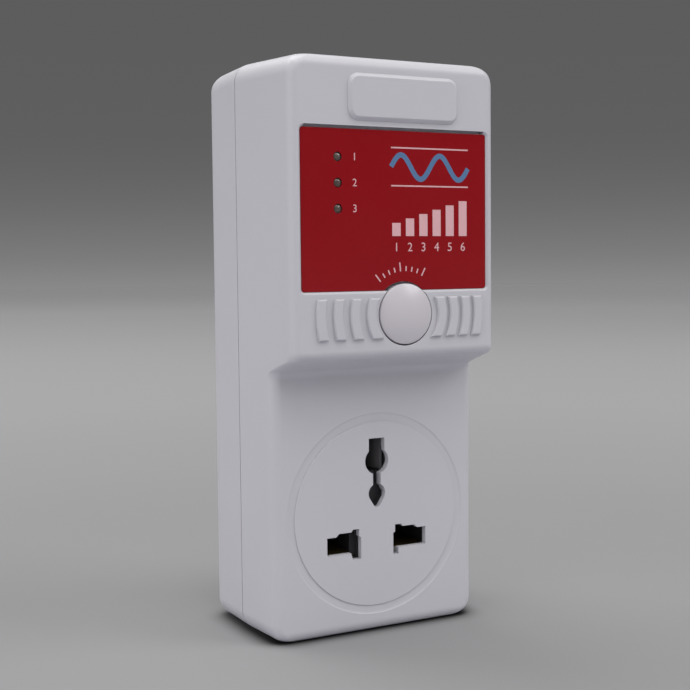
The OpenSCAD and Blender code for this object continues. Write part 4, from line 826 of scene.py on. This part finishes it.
def button_spring():
    """A coil between the cap's inside and its guide."""
    wire, r, turns, slip = 0.35, 4.6, 6, 0.05
    steps, sides = 36, 12
    seat = UPPER_Y - BUTTON_PROUD + BUTTON_TOP_T
    y0, y1 = seat + wire + slip, GUIDE_Y - wire - slip
    lead = (y1 - y0) / turns
    slope = math.atan2(lead, 2 * math.pi * r)
    rings = []
    for i in range(turns * steps + 1):
        a = 2 * math.pi * i / steps
        out = Vector((math.cos(a), 0, math.sin(a)))
        up = Vector((math.sin(a) * math.sin(slope), math.cos(slope), -math.cos(a) * math.sin(slope)))
        middle = Vector((BUTTON_X, y0 + lead * i / steps, BUTTON_Z)) + out * r
        rings.append([tuple(middle + wire * (math.cos(b) * out + math.sin(b) * up))
                      for b in (2 * math.pi * k / sides for k in range(sides))])
    spring = loft("return_spring", rings)
    soften(spring, 0.03, angle=60)
    paint(spring, looks["spring_steel"].material)
    piece(spring, "root", "button_spring", slot="spring_steel")
    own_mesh(spring)


def pin(name, node, x, z, w, h, length, sleeve):
    """A brass plug pin with bevelled end, its flange inside the case and its stub."""
    tip = BACK_Y + length
    outline = round_rect(w, h, PIN_EDGE, x, z, 3)
    body = stack(name, outline, [(0, FLANGE_FACE)] + [(d, tip - back) for d, back in PIN_TIP])
    flange = round_rect(w + PIN_FLANGE_OVER, h + PIN_FLANGE_OVER, 0.3, x, z, 3)
    add(body, stack("flange", flange, [(0, FLANGE_FACE), (0, PAD_FACE)]))
    stub = round_rect(PIN_STUB_W, PIN_STUB_W, 0.2, x, z, 3)
    add(body, stack("stub", stub, [(0, STUB_Y), (0, FLANGE_FACE + OVER)]))
    if sleeve:
        end = BACK_Y + sleeve
        profile = [(-OVER, PAD_FACE), (SLEEVE_T, PAD_FACE), (SLEEVE_T, end), (-OVER, end)]
        neck = [[(px, y, pz) for px, pz in outline(d)] for d, y in profile]
        cut(body, loft("neck", neck, closed=True))
    soften(body, 0.12)
    paint(body, looks["brass"].material)
    piece(body, "root", node, slot="brass")


def pin_sleeves():
    """A sleeve on each of the first two pins; both stand for one CAD node."""
    end, bevel_w, bevel_l = BACK_Y + SLEEVE_L, 0.12, 0.2
    profile = [(0, PAD_FACE), (SLEEVE_T, PAD_FACE), (SLEEVE_T, end), (bevel_w, end), (0, end - bevel_l)]
    for x, z, w, h in PINS[:2]:
        outline = round_rect(w, h, PIN_EDGE, x, z, 3)
        rings = [[(px, y, pz) for px, pz in outline(d)] for d, y in profile]
        sleeve = loft("pin_sleeve", rings, closed=True)
        soften(sleeve, 0.05)
        paint(sleeve, looks["sleeve_black"].material)
        piece(sleeve, "root", "pin_sleeves", slot="sleeve_black")


# Everything printed on the label: plain numbers, a wave between two levels, and bars


INK_Y = UPPER_Y + LABEL_DEEP - LABEL_T
INK_T = 0.03
INK_SINK = 0.01
FINE_LINE = 0.35
# Height of a figure as a share of the font's size
FIGURE_SHARE = 0.69


def print_on(obj, colour=ink):
    """Paints a piece of print and puts it on the root body; it stands for no CAD node."""
    paint(obj, colour.material)
    piece(obj, "root")


def flat_print(name, points):
    """A thin patch of ink with the given X and Z outline."""
    print_on(prism(name, points, INK_Y - INK_T, INK_Y + INK_SINK))


def number(text, x, z, size):
    """A plain number printed at x, z; size is the height of a figure."""
    curve = bpy.data.curves.new("number_" + text, "FONT")
    curve.body = text
    curve.size = size * MM / FIGURE_SHARE
    curve.extrude = INK_T * MM
    curve.align_x, curve.align_y = "CENTER", "CENTER"
    obj = bpy.data.objects.new("number_" + text, curve)
    bpy.context.scene.collection.objects.link(obj)
    depsgraph = bpy.context.evaluated_depsgraph_get()
    mesh = bpy.data.meshes.new_from_object(obj.evaluated_get(depsgraph))
    bpy.data.objects.remove(obj)
    upright = Matrix.Rotation(math.radians(90), 4, "X")
    mesh.transform(Matrix.Translation((x * MM, INK_Y * MM, z * MM)) @ upright)
    figure = bpy.data.objects.new("number_" + text, mesh)
    bpy.context.scene.collection.objects.link(figure)
    print_on(figure)


def ribbon(name, points, width, colour=ink):
    """A printed line of even width along points."""
    half = width / 2
    left, right = [], []
    for i, (x, z) in enumerate(points):
        ax, az = points[max(i - 1, 0)]
        bx, bz = points[min(i + 1, len(points) - 1)]
        size = math.hypot(bx - ax, bz - az)
        nx, nz = -(bz - az) / size * half, (bx - ax) / size * half
        left.append((x + nx, z + nz))
        right.append((x - nx, z - nz))
    n = len(points)
    verts = [(x, y, z) for y in (INK_Y - INK_T, INK_Y + INK_SINK) for x, z in left + right]
    faces = []
    for i in range(n - 1):
        faces.append((i, i + 1, n + i + 1, n + i))
        faces.append((2 * n + i, 3 * n + i, 3 * n + i + 1, 2 * n + i + 1))
        faces.append((i, 2 * n + i, 2 * n + i + 1, i + 1))
        faces.append((n + i, n + i + 1, 3 * n + i + 1, 3 * n + i))
    faces.append((0, n, 3 * n, 2 * n))
    faces.append((n - 1, 3 * n - 1, 4 * n - 1, 2 * n - 1))
    obj = make(name, verts, faces)
    outward(obj)
    print_on(obj, colour)


def lamp_numbers():
    """The numbers 1 to 3 beside the lamps."""
    beside, size = 4.6, 1.8
    for i, z in enumerate(LED_ZS):
        number(str(i + 1), LED_X + beside, z, size)


def wave_print(left, right, middle):
    """Two periods of a wave between two levels."""
    steps, high, level, thick = 96, 2.9, 4.6, 1.3
    wave = [(left + (right - left) * i / steps, middle + high * math.sin(4 * math.pi * i / steps))
            for i in range(steps + 1)]
    ribbon("wave", wave, thick, blue_ink)
    for z in (middle - level, middle + level):
        ribbon("level", [(left, z), (right, z)], FINE_LINE)


def bar_print(left):
    """Six rising bars, each with its number below."""
    bottom, figures_z, size = 100.4, 97.6, 2.1
    width, pitch, lowest, rise = 2.4, 3.9, 3.2, 1.1
    for i in range(6):
        x0 = left + i * pitch
        x1, top = x0 + width, bottom + lowest + rise * i
        flat_print("bar", [(x0, bottom), (x1, bottom), (x1, top), (x0, top)])
        number(str(i + 1), x0 + width / 2, figures_z, size)


def tick_print():
    """Nine ticks over the button; every fourth one is longer."""
    start, pitch, inner, outer, outer_long = 62, 8.5, 10.6, 11.8, 12.8
    for i in range(9):
        a = math.radians(start + pitch * i)
        ends = (inner, outer_long if i % 4 == 0 else outer)
        points = [(BUTTON_X + r * math.cos(a), BUTTON_Z + r * math.sin(a)) for r in ends]
        ribbon("tick", points, FINE_LINE)


def label_print():
    left, right, wave_z, bars_in = -1.5, 21.0, 117.2, 0.2
    lamp_numbers()
    wave_print(left, right, wave_z)
    bar_print(left + bars_in)
    tick_print()


# The contacts get darker copies of brass and tin: painted shade for the dark inside of the socket
CONTACT_LOOKS = {"line_contact": "brass_darkened_as_shade", "neutral_contact": "brass_darkened_as_shade",
                 "earth_contact": "tin_darkened_as_shade"}


def inner_parts():
    """The CAD nodes that keep their own mesh: a material each, softened edges and smooth shading."""
    hidden = {name for name, obj in frame["nodes"].items() if obj.hide_render}
    for part in frame["record"]["subparts"]:
        name = part["node"]
        if name in hidden:
            continue
        obj = frame["nodes"][name]
        paint(obj, looks[CONTACT_LOOKS.get(name, part["material_slot"])].material)
        soften(obj, 0.06, weld=True)


# The scene: floor, backdrop, lights and camera


# Camera: turns in degrees, lens and sensor as Blender has them, place in millimetres
YAW, PITCH, ROLL = 29.19, 3.9, -0.56
LENS = 66.95
SENSOR = 36
PLACE = (-164.5, -301.85, 95.3)
FLOOR_R = 4000.0
# Greys of the floor, by distance from the part as a share of the floor's radius
FLOOR_TONES = [(0.0, 0.25), (0.015, 0.245), (0.03, 0.222), (0.06, 0.232), (0.125, 0.268), (0.25, 0.285),
               (0.36, 0.295), (0.5, 0.355), (0.75, 0.475), (1.0, 0.585)]
# Painted contact shadow: how the floor's colour darkens in the narrow gap under the case's rounded edges,
# by how open the place is.
# It is full at the front and weaker towards the back, between two places along Y in metres.
PAINTED_SHADOW_REACH = 0.0063
PAINTED_SHADOW_FRONT, PAINTED_SHADOW_BACK, PAINTED_SHADOW_WEAK = -0.02, 0.012, 0.62
PAINTED_SHADOW_TONES = [(0.0, 0.03), (0.38, 0.07), (0.52, 0.26), (0.68, 0.66), (0.84, 0.92), (1.0, 1.0)]
# What the floor throws back on the part
BOUNCE = (0.42, 0.415, 0.455)
# Greys of the backdrop, by height of the view above the horizon (sine of its angle)
SKY_LOW, SKY_HIGH = -0.06, 0.2
SKY_TONES = [(0.0, 0.31), (0.1, 0.285), (0.23, 0.2), (0.4, 0.14), (0.58, 0.112), (1.0, 0.108)]
# Strength of the even surround, and the middle of the part, at which the lamps look, in metres
SURROUND = 0.379
LAMPS_AIM = Vector((0, 0, 0.07))


def floor():
    """A plain round floor; its grey by distance makes up for the lamps' falloff, up to the backdrop. A
    painted contact shadow darkens its colour under the case's edges.
    """
    steps = 96
    edge = [(FLOOR_R * math.cos(2 * math.pi * i / steps), FLOOR_R * math.sin(2 * math.pi * i / steps), 0.0)
            for i in range(steps)]
    disc = make("floor", edge, [tuple(range(steps))])
    look = Look("paper_floor", Roughness=0.9, Specular_IOR_Level=0.1)
    reach = look.add("ShaderNodeVectorMath", operation="LENGTH")
    look.link(look.where, reach.inputs[0])
    share = look.add("ShaderNodeMath", operation="DIVIDE")
    share.inputs[1].default_value = FLOOR_R * MM
    look.link(reach.outputs["Value"], share.inputs[0])
    tone = look.add("ShaderNodeMix", data_type="RGBA")
    tone.inputs["B"].default_value = (*BOUNCE, 1)
    look.link(look.add("ShaderNodeLightPath").outputs["Is Diffuse Ray"], tone.inputs["Factor"])
    # Painted contact shadow: ambient occlusion darkens the floor's colour under the case, less towards the
    # back
    painted_shadow_openness = look.add("ShaderNodeAmbientOcclusion")
    painted_shadow_openness.inputs["Distance"].default_value = PAINTED_SHADOW_REACH
    contact = look.add("ShaderNodeMix", data_type="RGBA", blend_type="MULTIPLY")
    place = look.add("ShaderNodeSeparateXYZ")
    look.link(look.where, place.inputs["Vector"])
    strength = look.add("ShaderNodeMapRange")
    for socket, value in (("From Min", PAINTED_SHADOW_FRONT), ("From Max", PAINTED_SHADOW_BACK), ("To Min", 1),
                          ("To Max", PAINTED_SHADOW_WEAK)):
        strength.inputs[socket].default_value = value
    look.link(place.outputs["Y"], strength.inputs["Value"])
    look.link(strength.outputs["Result"], contact.inputs["Factor"])
    look.link(grey_ramp(look.tree, share.outputs["Value"], FLOOR_TONES), contact.inputs["A"])
    look.link(grey_ramp(look.tree, painted_shadow_openness.outputs["AO"], PAINTED_SHADOW_TONES), contact.inputs["B"])
    look.link(contact.outputs["Result"], tone.inputs["A"])
    look.link(tone.outputs["Result"], look.shader.inputs["Base Color"])
    look.bump(look.noise(700, 3), 0.01)
    paint(disc, look.material)


def grey_ramp(tree, value, tones):
    """A smooth ramp of greys; tones lists (place from 0 to 1, grey)."""
    ramp = tree.nodes.new("ShaderNodeValToRGB")
    ramp.color_ramp.interpolation = "B_SPLINE"
    points = ramp.color_ramp.elements
    while len(points) < len(tones):
        points.new(1.0)
    for point, (place, grey) in zip(points, tones):
        point.position = place
        point.color = (grey, grey * 0.997, grey * 1.005, 1)
    tree.links.new(value, ramp.inputs["Fac"])
    return ramp.outputs["Color"]


def softbox(name, place, size, power):
    """A large soft lamp that looks at the part."""
    light = bpy.data.lights.new(name, "AREA")
    light.shape, light.size, light.size_y = "RECTANGLE", *size
    light.energy = power
    obj = bpy.data.objects.new(name, light)
    obj.location = place
    obj.rotation_euler = (LAMPS_AIM - Vector(place)).to_track_quat("-Z", "Y").to_euler()
    bpy.context.scene.collection.objects.link(obj)


def lights():
    """Five large soft lamps round the part."""
    softbox("over", (0.0, -0.1, 1.9), (2.0, 2.0), 22.3)
    softbox("over_front", (-0.3, -1.4, 1.9), (2.0, 1.6), 15)
    softbox("over_back", (-0.4, 1.2, 1.9), (1.6, 1.6), 22.6)
    softbox("left", (-2.0, -0.4, 0.8), (1.6, 1.6), 14.9)
    softbox("right_front", (1.5, -1.2, 1.5), (1.2, 1.2), 20.1)


def room():
    """An even surround lights the part; cameras, mirrors and glass see the grey backdrop instead."""
    world = bpy.data.worlds.new("room")
    bpy.context.scene.world = world
    world.use_nodes = True
    tree = world.node_tree
    surround = tree.nodes["Background"]
    surround.inputs["Color"].default_value = (1, 1, 1, 1)
    surround.inputs["Strength"].default_value = SURROUND
    view = tree.nodes.new("ShaderNodeTexCoord")
    split = tree.nodes.new("ShaderNodeSeparateXYZ")
    tree.links.new(view.outputs["Generated"], split.inputs["Vector"])
    height = tree.nodes.new("ShaderNodeMapRange")
    height.inputs["From Min"].default_value = SKY_LOW
    height.inputs["From Max"].default_value = SKY_HIGH
    tree.links.new(split.outputs["Z"], height.inputs["Value"])
    backdrop = tree.nodes.new("ShaderNodeBackground")
    tree.links.new(grey_ramp(tree, height.outputs["Result"], SKY_TONES), backdrop.inputs["Color"])
    rays = tree.nodes.new("ShaderNodeLightPath")
    total = rays.outputs["Is Camera Ray"]
    for kind in ("Is Glossy Ray", "Is Transmission Ray"):
        join = tree.nodes.new("ShaderNodeMath")
        join.operation = "MAXIMUM"
        tree.links.new(total, join.inputs[0])
        tree.links.new(rays.outputs[kind], join.inputs[1])
        total = join.outputs["Value"]
    mix = tree.nodes.new("ShaderNodeMixShader")
    tree.links.new(total, mix.inputs["Fac"])
    tree.links.new(surround.outputs["Background"], mix.inputs[1])
    tree.links.new(backdrop.outputs["Background"], mix.inputs[2])
    tree.links.new(mix.outputs["Shader"], tree.nodes["World Output"].inputs["Surface"])


def camera():
    """The photograph's camera: its place, turn and lens were fitted to the case's edges and slots."""
    view = Matrix.Identity(3)
    for angle, axis in ((ROLL, "Y"), (PITCH, "X"), (YAW, "Z")):
        view = view @ Matrix.Rotation(math.radians(angle), 3, axis)
    right, forward, up = view
    cam = bpy.data.objects.new("camera", bpy.data.cameras.new("camera"))
    bpy.context.scene.collection.objects.link(cam)
    turn = Matrix((right, up, -forward)).transposed().to_4x4()
    cam.matrix_world = Matrix.Translation(Vector(PLACE) * MM) @ turn
    cam.data.sensor_width = SENSOR
    cam.data.lens = LENS
    cam.data.clip_start = 0.01
    bpy.context.scene.camera = cam


front_shell()
rear_shell()
label_plate()
for lamp_node, lamp_z in zip(("led_off", "led_wait", "led_on"), LED_ZS):
    lamp(lamp_node, lamp_z)
bypass_button()
button_spring()
pin("line_plug_pin", "line_pin", PIN_X, OUTLET_Z, PIN_W, PIN_T, PIN_L, SLEEVE_L)
pin("neutral_plug_pin", "neutral_pin", -PIN_X, OUTLET_Z, PIN_W, PIN_T, PIN_L, SLEEVE_L)
pin("earth_plug_pin", "earth_pin", 0, EARTH_Z, PIN_T, EARTH_H, EARTH_PIN_L, 0)
pin_sleeves()
label_print()
inner_parts()
floor()
lights()
room()
camera()
bpy.context.scene.view_settings.view_transform = "Standard"
